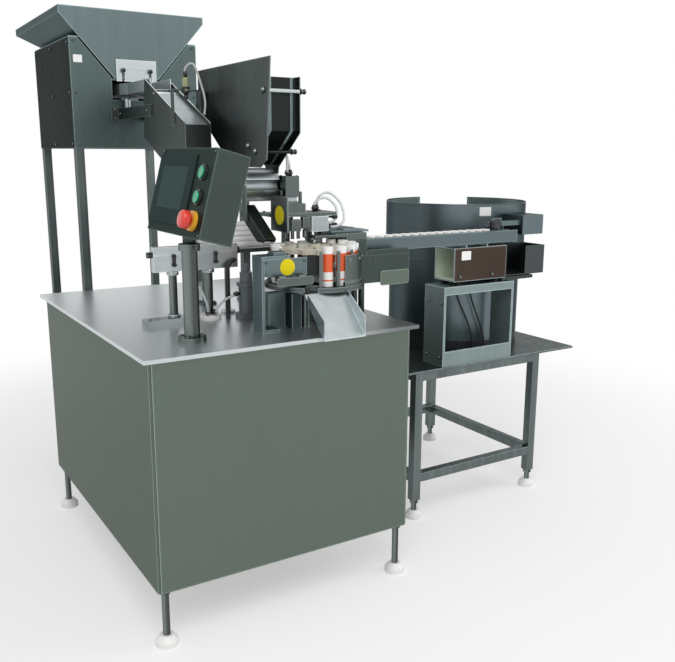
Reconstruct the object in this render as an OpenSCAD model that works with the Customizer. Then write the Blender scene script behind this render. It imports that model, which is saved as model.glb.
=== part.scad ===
// Tablet tube filling machine: cabinet with index dial, tablet tower, tube bin and cap feeder.
// Millimetres, Z up. The origin lies on the floor under the middle of the machine.

/* [Cabinet] */
// Width of the table top
cab_w = 755; // [700:5:900]
// Depth of the table top
cab_d = 1005; // [900:5:1200]
// Height of the table top above the floor
cab_h = 720; // [650:5:850]
// Thickness of the table top
top_t = 10; // [6:1:20]
// Overhang of the table top past the cover sheets
top_lip = 16; // [8:1:30]
// Height of the cover sheets' lower edge
skirt_z = 145; // [120:5:200]
// Side of the cabinet frame's square tube
frame_s = 40; // [30:1:50]
// Thickness of the cover sheets
sheet_t = 2; // [1:0.5:3]
// Open joint at the cabinet's corners
corner_gap = 5; // [2:1:15]

/* [Levelling feet] */
// Diameter of a foot pad
pad_d = 56; // [40:1:70]
// Height of a foot pad
pad_h = 26; // [15:1:40]
// Diameter of a levelling stem
stem_d = 18; // [10:1:24]

/* [Control column] */
// Column axis from the table's left edge
column_x = 168; // [120:1:220]
// Column axis from the table's front edge
column_y = 134; // [100:1:200]
// Column diameter
column_d = 38; // [30:1:50]
// Column height up to the collar
column_h = 219; // [150:1:300]
// Flange diameter
flange_d = 68; // [55:1:90]
// Collar diameter
collar_d = 51; // [45:1:60]

/* [Control box] */
// Width of the control face
box_w = 332; // [300:1:360]
// Height of the control face
box_h = 204; // [200:1:260]
// Depth of the control box
box_d = 80; // [60:1:100]
// Backward lean of the face in degrees
box_tilt = 15; // [0:1:20]
// Width of the touch panel
hmi_w = 224; // [180:1:226]
// Height of the touch panel
hmi_h = 166; // [120:1:180]
// Diameter of a push button
button_d = 28; // [22:1:32]
// Diameter of the stop button's head
estop_d = 40; // [34:1:44]

/* [Tablet tower] */
// Gap between the table and the tower
tower_gap = 22; // [10:1:60]
// Left side of the tower from the table's left edge
tower_x = 147; // [100:1:200]
// Width of the tower housing
tower_w = 422; // [400:1:500]
// Depth of the tower housing
tower_d = 478; // [440:1:560]
// Housing's lower edge above the table top
tower_lift = 458; // [440:1:520]
// Height of the housing
tower_h = 340; // [330:1:400]
// Side of the tower's square tube
leg_s = 28; // [20:1:32]

/* [Tablet hopper] */
// Overhang of the hopper's rim past the housing's sides
rim_over = 27; // [20:1:40]
// Depth of the hopper's rim
rim_d = 640; // [600:1:700]
// Rim height above the housing
rim_rise = 91; // [80:1:110]
// Height of the upright lip
lip_h = 22; // [10:1:40]
// Width of the throat
throat_w = 149; // [140:1:170]
// Depth of the throat
throat_d = 90; // [70:1:120]
// Gate plate width
gate_w = 133; // [110:1:138]
// Gate plate height
gate_h = 68; // [60:1:80]

/* [Tray and chute] */
// Width of the vibrating tray's spout
spout_w = 64; // [50:1:66]
// Reach of the tray in front of the tower
tray_reach = 290; // [270:1:300]
// Inside width of the tablet chute
chute_w = 72; // [70:1:80]
// Slope of the tablet chute in degrees
chute_a = 23.5; // [18:0.5:26]
// Height of the chute's side plates
chute_h = 168; // [140:1:180]
// Length of the chute along the floor plan
chute_l = 314; // [300:1:330]

/* [Tube bin] */
// Gap between the tablet chute and the bin's posts
bin_gap = 7.5; // [5:0.5:20]
// Width between the outer faces of the side plates
bin_w = 105; // [103:1:112]
// Thickness of the bin's plates
bin_t = 3; // [2:0.5:4]
// Drum axis above the table top
drum_z = 360; // [350:1:370]
// Drum axis from the table's front edge
drum_y = 356; // [350:1:370]
// Drum diameter
drum_d = 90; // [70:1:94]

/* [Tubes and dial] */
// Outside diameter of a tube
tube_d = 28; // [24:1:30]
// Length of a tube
tube_l = 96; // [85:1:110]
// Height of a closed cap above its tube
cap_h = 6; // [3:1:9]
// Dial axis right of the bin's left side
dial_off = 147; // [145:1:155]
// Dial axis from the table's front edge
dial_y = 205; // [200:1:215]
// Radius of the pockets' circle
pitch_r = 105; // [100:1:108]
// Number of pockets
pockets = 16; // [14:1:16]
// Height of the dial floor's underside above the table
dial_lift = 95; // [70:1:120]
// Thickness of the dial floor
floor_t = 13; // [8:1:16]

/* [Tablet rack and pusher] */
// Slope of the tablet rack in degrees
rack_a = 25; // [15:1:26]
// Length of the rack along its slope
rack_l = 150; // [130:1:155]
// Pusher axis above the table top
push_z = 184; // [170:1:190]
// Pusher axis from the table's front edge
push_y = 365; // [363:1:367]
// Length of the pusher body
push_l = 240; // [220:1:250]

/* [Cap feeder] */
// Width of the feeder table
feed_w = 910; // [890:5:1000]
// Depth of the feeder table
feed_d = 617; // [610:1:700]
// Feeder table below the cabinet table
feed_drop = 220; // [200:1:230]
// Front edge of the feeder table from the cabinet's front edge
feed_y = 263; // [255:1:290]
// Side of the feeder table's square tube
feed_leg = 30; // [25:1:40]
// Radius of the bowl housing
bowl_r = 250; // [235:1:252]
// Height of the bowl housing above the feeder table
bowl_h = 500; // [480:1:540]
// Width of the cap track
track_w = 40; // [36:1:44]
// Depth of the cap track's beam
track_h = 30; // [20:1:40]
// Length of the cap track
track_l = 622; // [600:1:630]
// Number of caps on the track
cap_count = 16; // [4:1:17]
// Height of the track drive's housing
drive_h = 106; // [90:1:130]

/* [Discharge chute] */
// Width of the discharge chute
out_w = 118; // [90:1:122]
// Drop of the discharge chute
out_drop = 100; // [80:1:110]

/* [Hidden] */
$fn = 48;

// Gap between pieces that move past each other, and running clearance of a shaft in its bore
fit = 0.3;
run = 0.05;
// A cut reaches this far past a face
past = 1;

// Cabinet faces
right_x = cab_w - top_lip;
rear_y = cab_d - top_lip;
under_z = cab_h - top_t;
frame_in = top_lip + sheet_t;
rail_top = skirt_z + frame_s;
pan_t = 3;
stem_in = frame_in + frame_s / 2;

// Electric plate with its modules and valve block
plate_in = 102;
plate_back = 90;
plate_w = 440;
plate_h = 400;
plate_t = 3;
module_in = 20;
module_w = 60;
module_d = 80;
module_h = 75;
module_z = 90;
module_pitch = 72;
module_step = 120;
valves_w = 260;
valves_d = 60;
valves_h = 50;
valves_z = 320;

// Index drive: cam box below the table, with its motor
cam_s = 150;
cam_shaft = 80;
drive_flange_d = 90;
drive_flange_t = 30;
motor_d = 120;
motor_l = 190;
fan_d = 110;
fan_l = 40;
motor_z = 95;
clip_w = 60;
clip_y = 65;
clip_l = 80;
clip_t = 10;

// Tower and hopper
tower_y = cab_d + tower_gap;
tower_z = cab_h + tower_lift;
tower_top = tower_z + tower_h;
tower_leg_z = 60;
rim_z = tower_top + rim_rise;
slope_z = rim_z - lip_h;
throat_x = tower_x + tower_w / 2 - throat_w / 2;
rim_w = tower_w + 2 * rim_over;
mouth_gap = 3.33;
rim_x = tower_x + tower_w / 2 - rim_w / 2;
rim_y = tower_y - 4;
mouth_w = tower_w - 2 * (sheet_t + leg_s + mouth_gap);
funnel_h = (slope_z - tower_top) * (rim_w - throat_w) / (rim_w - mouth_w);
throat_z = slope_z - funnel_h;
hopper_t = 2;
lip_lap = 0.3;
seat_t = 3;
gate_t = 4;
gate_lap = 10;
gate_travel = 30;
gate_slot = 10;
stud_x = 45;

// Tray under the throat, and the chute below its spout
tray_z = throat_z - 54;
tray_t = 3;
tray_wall = 34;
boss_w = 60;
boss_l = 35;
boss_h = 12;
tray_in = 8;
neck_y = 30;
neck_l = 50;
spout_x = throat_x + 20;
spout_c = spout_x + spout_w / 2;
tray_end = tower_y - tray_reach;
tray_back = tower_y + throat_d + 40;
magnet_y = 50;
magnet_w = 110;
magnet_l = 180;
magnet_foot = 16;
coil_w = 80;
coil_y = 80;
coil_l = 70;
coil_z = 64;
blade_y = [30, 50];
blade_w = 50;
blade_t = 4;
chute_t = 2;
chute_x = spout_c - chute_w / 2 - chute_t;
chute_y = tray_end + 38;
chute_z = tray_z + 36;
chute_end = chute_y - chute_l;
flap_l = 120;
flap_y = tray_end - 40;
flap_drop = 14;
hinge_d = 10;
arm_z = tower_z + 92;
sensor_y = flap_y - flap_l - 35;
sensor_d = 18;
sensor_h = 48;
bar_z = chute_top(sensor_y) + 52;

// Bin and drum
post_s = 24;
post_lip = 10;
post_short = 60;
foot_t = 8;
bin_x = chute_x + chute_w + 2 * chute_t + bin_gap + post_s;
bin_lift = 408;
bin_z = cab_h + bin_lift;
bin_h = 268;
bin_y = drum_y - 190;
bin_d = 455;
post_y = drum_y + 204;
drum_c = [drum_y, cab_h + drum_z];
drum_shaft = 14;
lug_r = 22;
duct_s = 34;
duct_a = 33;
duct_y = drum_y - 12;
duct_top = drum_c.y - drum_d / 2 - 8;
duct_gap = 2;
duct_l = 150;
tab_y = duct_y - 28;
tab_w = 24;
tab_z = duct_top - 42;

// Dial
dial_x = bin_x + dial_off;
shaft_d = 30;
floor_z = cab_h + dial_lift;
floor_top = floor_z + floor_t;
tube_z = floor_top + fit;
tube_top = tube_z + tube_l;
cap_top = tube_top + cap_h;
sweep_r = pitch_r + tube_d / 2;
floor_r = sweep_r + 16;
pocket_a = 360 / pockets;
exit_a = -90 - 1.5 * pocket_a;
bore_t = 1.5;
rim_low = 3;

// Front bracket with its face plate
bracket_w = 81;
bracket_y = 97;
bracket_d = 58;
bracket_h = 30;
face_t = 4;
face_h = 45;
face_low = 7;
bracket_low = 10;
face_in = 3;
face_over = 46;
sole_l = 50;

// Filling and capping stations, which stand over two pockets behind the dial
fill_a = 90 + pocket_a / 2;
close_a = 90 - 1.5 * pocket_a;
fill_x = dial_x + pitch_r * cos(fill_a);
fill_y = dial_y + pitch_r * sin(fill_a);
close_x = dial_x + pitch_r * cos(close_a);
close_y = dial_y + pitch_r * sin(close_a);
bridge_z = cap_top + 63.7;
bridge_t = 10;
bridge_y = dial_y + 79;
bridge_d = 92;
bridge_x = dial_x - 78;
bridge_w = 198;
guard_t = 4;
guard_h = 92;
guard_z = cap_top + 30;
guard_lap = 14;
ram_d = 22;
fill_travel = 24;
press_d = 16;
press_travel = 12;
fill_s = 42;
fill_h = 56;
fill_rise = 44;
neck_s = 34;
close_w = 54;
close_d = 40;
close_h = 42;

// Pusher and rack
rod_d = 16;
push_x = bin_x - 9 - push_l;
push_t = 18;
push_low = 46;
push_high = 20;
rack_x = chute_x + 3;
rack_in = 2;
rack_w = bin_x + bin_w + post_s - rack_in - rack_x;
rack_y = push_y + push_t / 2 + 11;
rack_z = cab_h + push_z - 12;
rack_t = 14;
groove_d = 20;
groove_pitch = 28;
valve_share = 0.65;
valve_t = 13;
valve_r = 32;

// Cap lane and feeder
arm_rise = cap_top + 4;
lane_z = cap_top - 16;
feed_h = cab_h - feed_drop;
feed_x = right_x;
feed_end = feed_x + feed_w;
feed_t = 8;
feed_in = 29;
feed_legs = [feed_x + 238, feed_end - 164];
bowl_x = feed_end - bowl_r - 8;
bowl_y = feed_y + bowl_r + 112;
bowl_t = 3;
rim_gap = 44;
rim_gap_a = 61.6;
rim_gap_h = 70;
bowl_step = 15;
step_share = 0.62;
plinth_h = 30;
coil_r = 140;
coil_h = 160;
spring_r = 105;
spring_w = 44;
spring_t = 8;
spring_l = 40;
wall_t = 3;
cup_r = bowl_r - bowl_step - bowl_t - 8;
cup_h = 240;
dish_r = 150;
dish_h = 90;
cone_r = 60;
cone_h = 27;
track_x = right_x + 7;
track_y = feed_y + 37;
track_z = lane_z - track_h;
cap_pitch = 32;
track_cap_d = tube_d + 2;
spring_h = 8;
mount_h = 40;
rubber_h = 14;
rubber_d = 26;
rubber_x = 30;
rubber_y = 18;
drive_x = track_x + 349;
drive_l = 217;
drive_y = feed_y + 5;
drive_d = 98;
drive_t = 3;
bay_l = 72;
catch_l = 172;
catch_drop = 8;
catch_gap = 86;
leaf_t = 5;
leaf_w = 30;
drive_z = track_z - spring_h - drive_h;
stand_x = drive_x - 36;
stand_l = 293;
sill_h = 48;
stand_t = 8;
stand_z = drive_z - mount_h;

// Discharge chute: it falls at 45 degrees from the dial floor's front edge
out_x = dial_x - 99;
out_y = dial_y - pitch_r - 16;
out_t = 2;

// Control box's middle beside the column's axis
box_off = 27;
box_shift = 14;

// Middle of the machine on the floor plan
mid_x = feed_end / 2;
mid_y = (rim_y + rim_d + min(out_y - out_drop, column_y + box_shift - box_w / 2)) / 2;

// Places that the hoses and cables start from and lead to
fill_top = [fill_x, fill_y, bridge_z + bridge_t + fill_rise + fill_h];
close_side = [close_x + close_w / 2, close_y, bridge_z];
bridge_top = [bridge_x + bridge_w, bridge_y + bridge_d, bridge_z + bridge_t];
bin_side = [bin_x + bin_w, drum_y, bin_z];
valve_top = [push_x + push_l * valve_share, push_y, cab_h + valve_t];
push_under = [push_x, push_y - push_t / 2, cab_h + push_z - push_low];
motor_c = [push_x + push_l + 5, push_y - 48, cab_h];
sensor_top = [spout_c, sensor_y, bar_z + sensor_h];
chute_side = [chute_x + chute_w + chute_t, sensor_y, chute_top(sensor_y)];
drive_back = [drive_x, drive_y + drive_d, drive_z];
stand_back = [stand_x, drive_y + drive_d, feed_h];

// Points of a route, given from the place where a hose or cable starts or ends
function from(place, steps) = [for (s = steps) place + s];

hose_d = 7;
hose_routes = [
  concat(from(fill_top, [[10, 10, -1], [12, 20, 31], [14, 48, 64]]),
    from(bin_side, [[34, 34, 28], [20, 52, 38], [-1, 54, 40]])),
  concat(from(fill_top, [[-10, -8, -1], [-10, -10, 36], [-4, 10, 78]]),
    from(bin_side, [[26, -4, 48], [18, 20, 62], [-1, 22, 64]])),
  concat(from(close_side, [[-1, 8, -20], [25, 6, -20], [47, 12, -4], [51, 30, 26]]),
    from(bridge_top, [[-4, -36, 36], [-36, -34, 26], [-42, -34, -1]])),
  concat(from(close_side, [[-1, -8, -30], [31, -14, -30], [59, -8, -12], [65, 22, 32]]),
    from(bridge_top, [[12, -26, 50], [-16, -16, 36], [-22, -16, -1]])),
  concat(from(valve_top, [[-14, -21, -2], [-16, -27, 23], [-28, -29, 57]]),
    from(push_under, [[112, -10, -29], [106, 2, 1]])),
  concat(from(valve_top, [[6, -25, -2], [10, -35, 23], [30, -41, 43]]),
    from(motor_c, [[-39, 1, 66], [-19, 0, 70]]))];
cable_d = 6;
cable_routes = [
  concat(from(sensor_top, [[-1, 0, -7], [0, -4, 14], [20, -14, 22]]),
    from(chute_side, [[2, -26, 62], [6, -36, 20], [0.5, -40, -12]])),
  concat(from(drive_back, [[168, -2, 43], [166, 22, 19], [174, 22, -67]]),
    from(stand_back, [[254, 14, 90], [276, 16, 30], [284, 18, -1]])),
  concat(from(drive_back, [[98, -2, 43], [96, 22, 13], [118, 26, -67]]),
    from(stand_back, [[204, 20, 100], [228, 20, 30], [234, 20, -1]]))];

steel = "#7d857f";
bright = "#b9bdbb";
dark = "#4c524f";

// Puts cabinet coordinates, from the table's near left corner, on the machine's own origin
module machine() {
  translate([-mid_x, -mid_y, 0]) children();
}

// Box between two corners
module block(p, q) {
  translate(p) cube(q - p);
}

// Upright round bar
module post(x, y, z0, z1, d) {
  translate([x, y, z0]) cylinder(d = d, h = z1 - z0);
}

// Plate that stands along Y and Z, drawn as [y, z] points
module side_plate(x, t, points) {
  translate([x, 0, 0]) rotate([90, 0, 90]) linear_extrude(t) polygon(points);
}

// Square-tube cage: four posts and a ring of rails at each given height
module cage(p, q, s, rails) {
  for (x = [p.x, q.x - s], y = [p.y, q.y - s])
    translate([x, y, p.z]) cube([s, s, q.z - p.z]);
  for (z = rails) {
    for (y = [p.y, q.y - s]) translate([p.x, y, z]) cube([q.x - p.x, s, s]);
    for (x = [p.x, q.x - s]) translate([x, p.y, z]) cube([s, q.y - p.y, s]);
  }
}

// Every levelling foot: its place and the height of the leg above it
tower_feet = [for (x = [tower_x + sheet_t + leg_s / 2, tower_x + tower_w - sheet_t - leg_s / 2],
                   y = [tower_y + sheet_t + leg_s / 2, tower_y + tower_d - sheet_t - leg_s / 2])
  [x, y, tower_leg_z]];
cabinet_feet = [for (x = [stem_in, cab_w - stem_in], y = [stem_in, cab_d - stem_in]) [x, y, skirt_z]];
feeder_feet = [for (x = feed_legs, y = [feed_y + feed_in, feed_y + feed_d - feed_in]) [x, y, tower_leg_z]];
feet = concat(cabinet_feet, tower_feet, feeder_feet);

module base_frame() color(steel) machine()
  cage([frame_in, frame_in, skirt_z], [cab_w - frame_in, cab_d - frame_in, under_z], frame_s,
    [skirt_z, under_z - frame_s]);

module floor_pan() color(steel) machine() difference() {
  block([frame_in, frame_in, rail_top], [cab_w - frame_in, cab_d - frame_in, rail_top + pan_t]);
  for (x = [frame_in, cab_w - frame_in - frame_s], y = [frame_in, cab_d - frame_in - frame_s])
    block([x - past, y - past, rail_top - past],
      [x + frame_s + past, y + frame_s + past, rail_top + pan_t + past]);
}

module front_panel() color(steel) machine()
  block([top_lip + corner_gap, top_lip, skirt_z], [right_x - corner_gap, frame_in, under_z]);

module rear_panel() color(steel) machine()
  block([top_lip + corner_gap, rear_y - sheet_t, skirt_z], [right_x - corner_gap, rear_y, under_z]);

module left_panel() color(steel) machine()
  block([top_lip, top_lip + corner_gap, skirt_z], [frame_in, rear_y - corner_gap, under_z]);

module right_panel() color(steel) machine()
  block([right_x - sheet_t, top_lip + corner_gap, skirt_z], [right_x, rear_y - corner_gap, under_z]);

module table_plate() color(bright) machine() difference() {
  block([0, 0, under_z], [cab_w, cab_d, cab_h]);
  post(dial_x, dial_y, under_z - past, cab_h + past, shaft_d + 6);
}

module levelling_stems() color(bright) machine() for (f = feet) {
  post(f.x, f.y, pad_h, f.z, stem_d);
  translate([f.x, f.y, f.z - 10]) cylinder(d = stem_d * 1.6, h = 10, $fn = 6);
}

module foot_pads() color("white") machine() for (f = feet)
  translate([f.x, f.y, 0]) rotate_extrude()
    polygon([[0, 0], [pad_d / 2, 0], [pad_d / 2, pad_h * 0.5], [pad_d * 0.3, pad_h], [0, pad_h]]);

module index_drive() color("#5a6470") machine() {
  side = cam_s / 2;
  difference() {
    block([dial_x - side, dial_y - side, under_z - cam_s], [dial_x + side, dial_y + side, under_z]);
    post(dial_x, dial_y, under_z - cam_shaft, under_z + past, shaft_d + 2 * run);
  }
  translate([dial_x, dial_y + side, under_z - motor_z]) rotate([-90, 0, 0]) {
    cylinder(d = drive_flange_d, h = drive_flange_t);
    translate([0, 0, drive_flange_t]) cylinder(d = motor_d, h = motor_l);
    translate([0, 0, drive_flange_t + motor_l]) cylinder(d = fan_d, h = fan_l);
  }
  translate([dial_x - clip_w / 2, dial_y + side + clip_y, under_z - motor_z + motor_d / 2 - 5])
    cube([clip_w, clip_l, clip_t]);
}

// Mounting plate with rows of modules and the valve block, upright on the floor pan
module electric_plate() color("#c9cdca") machine() {
  base = rail_top + pan_t;
  wall = rear_y - plate_back;
  left = frame_in + plate_in;
  block([left, wall, base], [left + plate_w, wall + plate_t, base + plate_h]);
  for (row = [0, 1], i = [0:4])
    translate([left + module_in + i * module_pitch, wall - module_d, base + module_z + row * module_step])
      cube([module_w, module_d, module_h]);
  translate([left + module_in, wall - valves_d, base + valves_z]) cube([valves_w, valves_d, valves_h]);
}

module control_column() color(bright) machine() difference() {
  union() {
    post(column_x, column_y, cab_h, cab_h + 12, flange_d);
    post(column_x, column_y, cab_h, cab_h + column_h, column_d);
    post(column_x, column_y, cab_h + column_h, head_z, collar_d);
  }
  post(column_x, column_y, head_z - pin_l - 10, head_z + past, pin_d + 2 * run);
}

// Control head: its own frame has the face on -X, and turns with the column's axis
collar_h = 16;
head_z = cab_h + column_h + collar_h;
pin_d = 24;
pin_l = 55;
box_t = 2;
box_lift = box_h / 2 * cos(box_tilt) + box_d / 2 * sin(box_tilt) + 3;
box_c = [column_x + box_off, column_y + box_shift, head_z + box_lift];
button_y = -box_w / 2 + 50;
buttons = [[button_y, 46], [button_y, -10], [button_y, -64]];
button_hole = 16;
ring_t = 5;
hmi_t = 5;
hmi_y = box_w / 2 - 6 - hmi_w / 2;
button_travel = 3;
estop_travel = 5;

module head() {
  machine() translate(box_c) rotate([0, box_tilt, 0]) children();
}

// A round piece on the control face, from one depth in front of it to another
module on_face(place, from, to, d) {
  translate([-box_d / 2 - to, place.x, place.y]) rotate([0, 90, 0]) cylinder(d = d, h = to - from);
}

module control_box() color(steel) {
  head() difference() {
    cube([box_d, box_w, box_h], center = true);
    cube([box_d - 2 * box_t, box_w - 2 * box_t, box_h - 2 * box_t], center = true);
    for (b = buttons) on_face(b, -box_t - past, past, button_hole + 2 * run);
  }
  machine() post(column_x, column_y, head_z + fit, box_c.z - box_h / 2 * cos(box_tilt) + 8, pin_d + 6);
  machine() post(column_x, column_y, head_z - pin_l, head_z + fit, pin_d);
}

module hmi_panel() color("#2e3436") head() difference() {
  translate([-box_d / 2 - hmi_t, hmi_y - hmi_w / 2, 2 - hmi_h / 2]) cube([hmi_t, hmi_w, hmi_h]);
  translate([-box_d / 2 - hmi_t - past, hmi_y - hmi_w * 0.36, 2 - hmi_h * 0.28])
    cube([past + 1, hmi_w * 0.72, hmi_h * 0.62]);
}

module ring(place, d, bore, t) {
  difference() {
    on_face(place, 0, t, d);
    on_face(place, -past, t + past, bore);
  }
}

module button_rings() color("#1b1b1b") head() for (i = [0, 1])
  ring(buttons[i], button_d + 9, button_d + 2 * fit, ring_t);

module push_button(place) {
  on_face(place, button_travel + fit, ring_t + 4, button_d);
  on_face(place, -12, button_travel + fit, button_hole);
}

module start_button() color("#1ea86b") head() push_button(buttons[0]);

module reset_button() color("#1ea86b") head() push_button(buttons[1]);

module estop_collar() color("#e6b422") head() ring(buttons[2], estop_d + 6, button_hole + 2 * fit, 8);

module estop_button() color("#d3382c") head() {
  on_face(buttons[2], 8 + estop_travel + fit, 36, estop_d);
  on_face(buttons[2], -12, 8 + estop_travel + fit, button_hole);
}

module tower_frame() color(steel) machine() {
  cage([tower_x + sheet_t, tower_y + sheet_t, tower_leg_z],
    [tower_x + tower_w - sheet_t, tower_y + tower_d - sheet_t, tower_top], leg_s,
    [tower_leg_z + 90, tower_z]);
  // The top ring is open at the front, where the hopper's upright face stands
  for (x = [tower_x + sheet_t, tower_x + tower_w - sheet_t - leg_s])
    block([x, tower_y + sheet_t, tower_top - leg_s], [x + leg_s, tower_y + tower_d - sheet_t, tower_top]);
  block([tower_x + sheet_t, tower_y + tower_d - sheet_t - leg_s, tower_top - leg_s],
    [tower_x + tower_w - sheet_t, tower_y + tower_d - sheet_t, tower_top]);
  for (y = [tower_y + 62, tower_y + 190])
    block([tower_x + sheet_t, y, tower_z], [tower_x + tower_w - sheet_t, y + leg_s, tower_z + leg_s]);
  for (x = [tower_x + sheet_t, tower_x + tower_w - sheet_t - leg_s])
    block([x, rear_y, cab_h - 190], [x + leg_s, tower_y + sheet_t, cab_h - 150]);
}

module tower_panels() color(steel) machine() {
  for (x = [tower_x, tower_x + tower_w - sheet_t])
    block([x, tower_y + sheet_t, tower_z], [x + sheet_t, tower_y + tower_d, tower_top]);
  block([tower_x + sheet_t, tower_y + tower_d - sheet_t, tower_z],
    [tower_x + tower_w - sheet_t, tower_y + tower_d, tower_top]);
}

// Front sheet with a V cut that frames the hopper's throat and the tray
module tower_front() color(steel) machine() {
  gap = 6;
  rise = (slope_z - tower_top) / (slope_z - throat_z);
  left = rim_x + (throat_x - rim_x) * rise;
  right = rim_x + rim_w - (rim_x + rim_w - throat_x - throat_w) * rise;
  translate([0, tower_y + sheet_t, 0]) rotate([90, 0, 0]) linear_extrude(sheet_t) difference() {
    translate([tower_x, tower_z]) square([tower_w, tower_h]);
    polygon([[left - gap, tower_top + past], [throat_x - gap, throat_z], [throat_x - gap, tray_z - 14],
      [throat_x + throat_w + gap, tray_z - 14], [throat_x + throat_w + gap, throat_z],
      [right + gap, tower_top + past]]);
  }
}

// Funnel as the overlap of two tapered prisms, grown by g, from the throat up to the sloped top
module funnel(g, z0, z1) {
  function at(z, wide, narrow) = narrow + (wide - narrow) * (z - throat_z) / (slope_z - throat_z);
  back = rim_y + rim_d;
  intersection() {
    translate([0, back + rim_d, 0]) rotate([90, 0, 0]) linear_extrude(2 * rim_d + back) polygon([
      [at(z0, rim_x, throat_x) - g, z0], [at(z0, rim_x + rim_w, throat_x + throat_w) + g, z0],
      [at(z1, rim_x + rim_w, throat_x + throat_w) + g, z1], [at(z1, rim_x, throat_x) - g, z1]]);
    side_plate(rim_x - 2 * rim_w, 5 * rim_w, [[rim_y - g, z0], [at(z0, back, rim_y + throat_d) + g, z0],
      [at(z1, back, rim_y + throat_d) + g, z1], [rim_y - g, z1]]);
  }
}

module tablet_hopper() color(steel) machine() {
  seat_y = tower_y + sheet_t;
  difference() {
    union() {
      funnel(0, throat_z, slope_z);
      block([rim_x, rim_y, slope_z - lip_lap], [rim_x + rim_w, rim_y + rim_d, rim_z]);
      block([tower_x + sheet_t, seat_y, tower_top],
        [tower_x + tower_w - sheet_t, tower_y + tower_d, tower_top + seat_t]);
    }
    funnel(-hopper_t, throat_z - past, slope_z + lip_lap);
    block([rim_x + hopper_t, rim_y + hopper_t, slope_z],
      [rim_x + rim_w - hopper_t, rim_y + rim_d - hopper_t, rim_z + past]);
  }
  for (side = [-1, 1])
    translate([gate_x + gate_w / 2 + side * stud_x, rim_y + hopper_t, gate_z + gate_h / 2])
      rotate([90, 0, 0]) {
        cylinder(d = gate_slot - 2, h = hopper_t + gate_t + fit);
        translate([0, 0, hopper_t + gate_t + fit]) cylinder(d = gate_slot + 6, h = 6);
      }
}

// Gate plate: hangs on two studs in its slots and slides up to open the throat's front
gate_x = throat_x + (throat_w - gate_w) / 2;
gate_z = throat_z - gate_lap;

module gate_plate() color("#c4c7c6") machine() {
  y = rim_y - fit;
  translate([0, y, 0]) rotate([90, 0, 0]) linear_extrude(gate_t - fit) difference() {
    translate([gate_x, gate_z]) square([gate_w, gate_h]);
    for (side = [-1, 1]) translate([gate_x + gate_w / 2 + side * stud_x, gate_z + gate_h / 2]) {
      translate([-gate_slot / 2, -gate_travel]) square([gate_slot, gate_travel]);
      circle(d = gate_slot);
      translate([0, -gate_travel]) circle(d = gate_slot);
    }
  }
}

// Pan below the throat, which narrows to a spout in front of the tower
module feeder_tray() color("#8c928f") machine() {
  wide = throat_w - 2 * tray_in;
  left = throat_x + tray_in;
  neck = tower_y - neck_y;
  outline = [[left, tray_back], [left, neck], [spout_x, neck - neck_l], [spout_x, tray_end],
    [spout_x + spout_w, tray_end], [spout_x + spout_w, neck - neck_l], [left + wide, neck],
    [left + wide, tray_back]];
  inside = [[left + tray_t, tray_back - tray_t], [left + tray_t, neck + 1],
    [spout_x + tray_t, neck - neck_l + 1], [spout_x + tray_t, tray_end - past],
    [spout_x + spout_w - tray_t, tray_end - past], [spout_x + spout_w - tray_t, neck - neck_l + 1],
    [left + wide - tray_t, neck + 1], [left + wide - tray_t, tray_back - tray_t]];
  difference() {
    translate([0, 0, tray_z]) linear_extrude(tray_wall) polygon(outline);
    translate([0, 0, tray_z + tray_t]) linear_extrude(tray_wall) polygon(inside);
  }
  translate([left + wide / 2 - boss_w / 2, tower_y + magnet_y + blade_y[0] - 5, tray_z - boss_h])
    cube([boss_w, boss_l, boss_h]);
}

// Magnet drive with two leaf springs that reach up to the tray
module feeder_drive() color(dark) machine() {
  c = throat_x + throat_w / 2;
  base = tower_z + leg_s;
  foot = base + magnet_foot;
  front = tower_y + magnet_y;
  block([c - magnet_w / 2, front, base], [c + magnet_w / 2, front + magnet_l, foot]);
  block([c - coil_w / 2, front + coil_y, foot], [c + coil_w / 2, front + coil_y + coil_l, foot + coil_z]);
  for (y = blade_y)
    block([c - blade_w / 2, front + y, foot], [c + blade_w / 2, front + y + blade_t, tray_z - boss_h - fit]);
}

// Height of the chute's upper edge above a place on the floor plan
function chute_top(y) = chute_z - (chute_y - y) * tan(chute_a);

module tablet_chute() color(dark) machine() {
  low = chute_h / cos(chute_a);
  floor_low = 112;
  right = chute_x + chute_w + chute_t;
  for (x = [chute_x, right])
    difference() {
      side_plate(x, chute_t, [[chute_y, chute_top(chute_y)], [chute_end, chute_top(chute_end)],
        [chute_end, chute_top(chute_end) - low], [chute_y + 24, chute_top(chute_y + 24) - low]]);
      translate([x - past, flap_y, chute_top(flap_y) - flap_drop]) rotate([0, 90, 0])
        cylinder(d = hinge_d - 4 + 2 * run, h = chute_t + 2 * past);
    }
  side_plate(chute_x + chute_t, chute_w, [[chute_y + 6, chute_top(chute_y) - floor_low],
    [chute_end, chute_top(chute_end) - floor_low], [chute_end, chute_top(chute_end) - floor_low - chute_t],
    [chute_y + 6, chute_top(chute_y) - floor_low - chute_t]]);
  // Arms that carry the chute from the tower's front sheet
  for (x = [chute_x - 6, right + chute_t])
    block([x, chute_y - 60, arm_z], [x + 6, tower_y, arm_z + 34]);
  for (x = [chute_x - 30, right + chute_t])
    block([x, tower_y - 5, arm_z - 5], [x + 30, tower_y, arm_z + 39]);
  // Cross bar for the level sensor
  for (x = [chute_x - 4, right + chute_t])
    block([x, sensor_y - 8, chute_top(sensor_y) - 40], [x + 4, sensor_y + 8, bar_z]);
  difference() {
    block([chute_x - 4, sensor_y - 8, bar_z], [right + chute_t + 4, sensor_y + 8, bar_z + 4]);
    post(spout_c, sensor_y, bar_z - past, bar_z + 4 + past, sensor_d + 2 * run);
  }
}

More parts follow.
